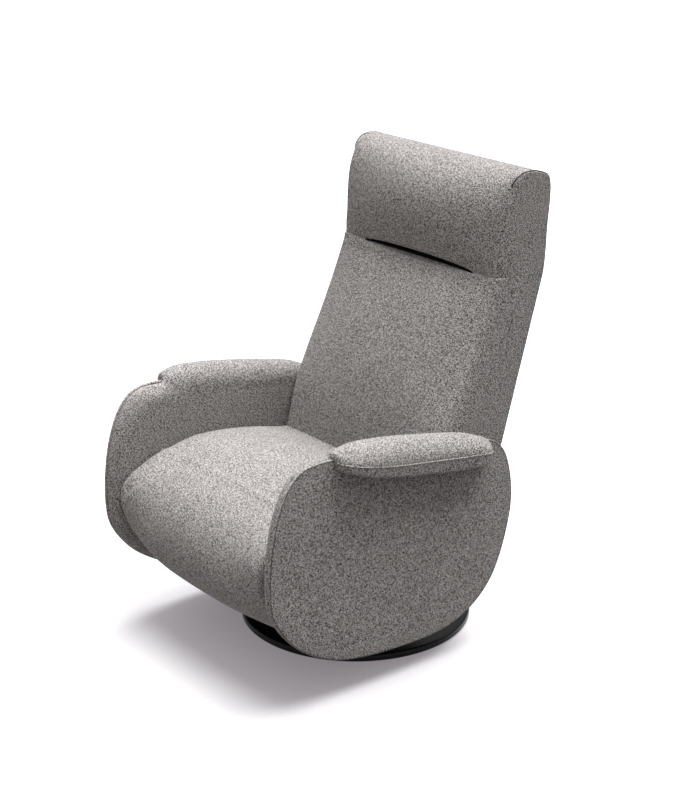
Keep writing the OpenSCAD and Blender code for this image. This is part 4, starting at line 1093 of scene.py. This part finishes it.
def dense(points, step=6.0):
    """The closed line through the given corners, with a point every step or so."""
    out = []
    n = len(points)
    for i in range(n):
        a, b = np.array(points[i], float), np.array(points[(i + 1) % n], float)
        m = max(1, int(np.linalg.norm(b - a) / step))
        out += [a + (b - a) * k / m for k in range(m)]
    return np.array(out)


# the tail panel's lower rear corner sweeps round the recline pins, and the apron stands just outside that
RECLINE_Y, RECLINE_Z = 48, 360
TAIL = [[186, 397.7], [170, 306.5], [165.7, 300], [157, 300], [160, 397.7]]
tail = slab("back_tail_panel", dense(TAIL), 282.5)
apron_y, apron_top, apron_thick = RECLINE_Y + math.hypot(TAIL[1][0] - RECLINE_Y, TAIL[1][1] - RECLINE_Z) + 1, 293.0, 9
apron_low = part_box("rear_apron")[0].z / MM
tall = apron_top - apron_low
curl = curve_at([[0, 1], [0.02, 0.66], [0.17, 0.37], [0.42, 0.14], [0.72, 0]], np.linspace(0, 4, 25))
outer = np.column_stack([apron_y + apron_thick - tall * curl[:, 0] / 1.6, apron_low + tall * curl[:, 1]])
inner = outer[::-1] - np.array([apron_thick, 0])
apron = slab("rear_apron_panel", np.concatenate([outer, inner]), 284.0)

# ---------------------------------------------------------------- last steps
HEAD_SEAM_RING = -25  # half way round the rim of the sitter's left side, after refine
BACK_NODES = ["back_cushion", "back_shell", "head_cushion", "head_shell"]

for o in (seat, legrest, back):
    refine(o)
    sharpen(o, 45)
# the slot's bottom is painted black: painted shade
paint_slot_shade(back)
rows, n = shape_of[back.name]
places, facing = (a.reshape(rows, n, 3)[HEAD_SEAM_RING] for a in (coords(back) / MM, normals(back)))
first = n // N_ROUND * (N_BACK + N_SLOT + int(N_HEAD * 0.72))
last = n // N_ROUND * BACK_PARTS[-1].start
# the head's seam cord is near black: painted shade of the seam's groove
back_welt = tube("left_back_welt", (places + 0.3 * facing)[first:last:2], 1.5, painted_seam_shade_dark)
back_welt_r = mirrored(back_welt, "right_back_welt")
for arm in (LEFT_ARM, RIGHT_ARM):
    sharpen(arm[1], 40)

finish_piece(seat, "swivel_chair", ["seat_cushion"])
finish_piece(legrest, "legrest", ["legrest_cushion"])
for side, arm in (("left", LEFT_ARM), ("right", RIGHT_ARM)):
    finish_piece(arm[0], "swivel_chair", [side + "_arm_inner_cover", side + "_arm_pad"])
    finish_piece(arm[1], "swivel_chair", [side + "_arm_outer_cover"])
    finish_piece(arm[2], "swivel_chair")
    finish_piece(arm[3], "swivel_chair")
finish_piece(tail, "backrest", ["back_lower_apron"])
finish_piece(apron, "swivel_chair", ["rear_apron"])
for o, stands_for, fill in ((back, BACK_NODES, 0.75), (back_welt, (), None), (back_welt_r, (), None)):
    finish_piece(o, None, stands_for)
    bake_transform(o)
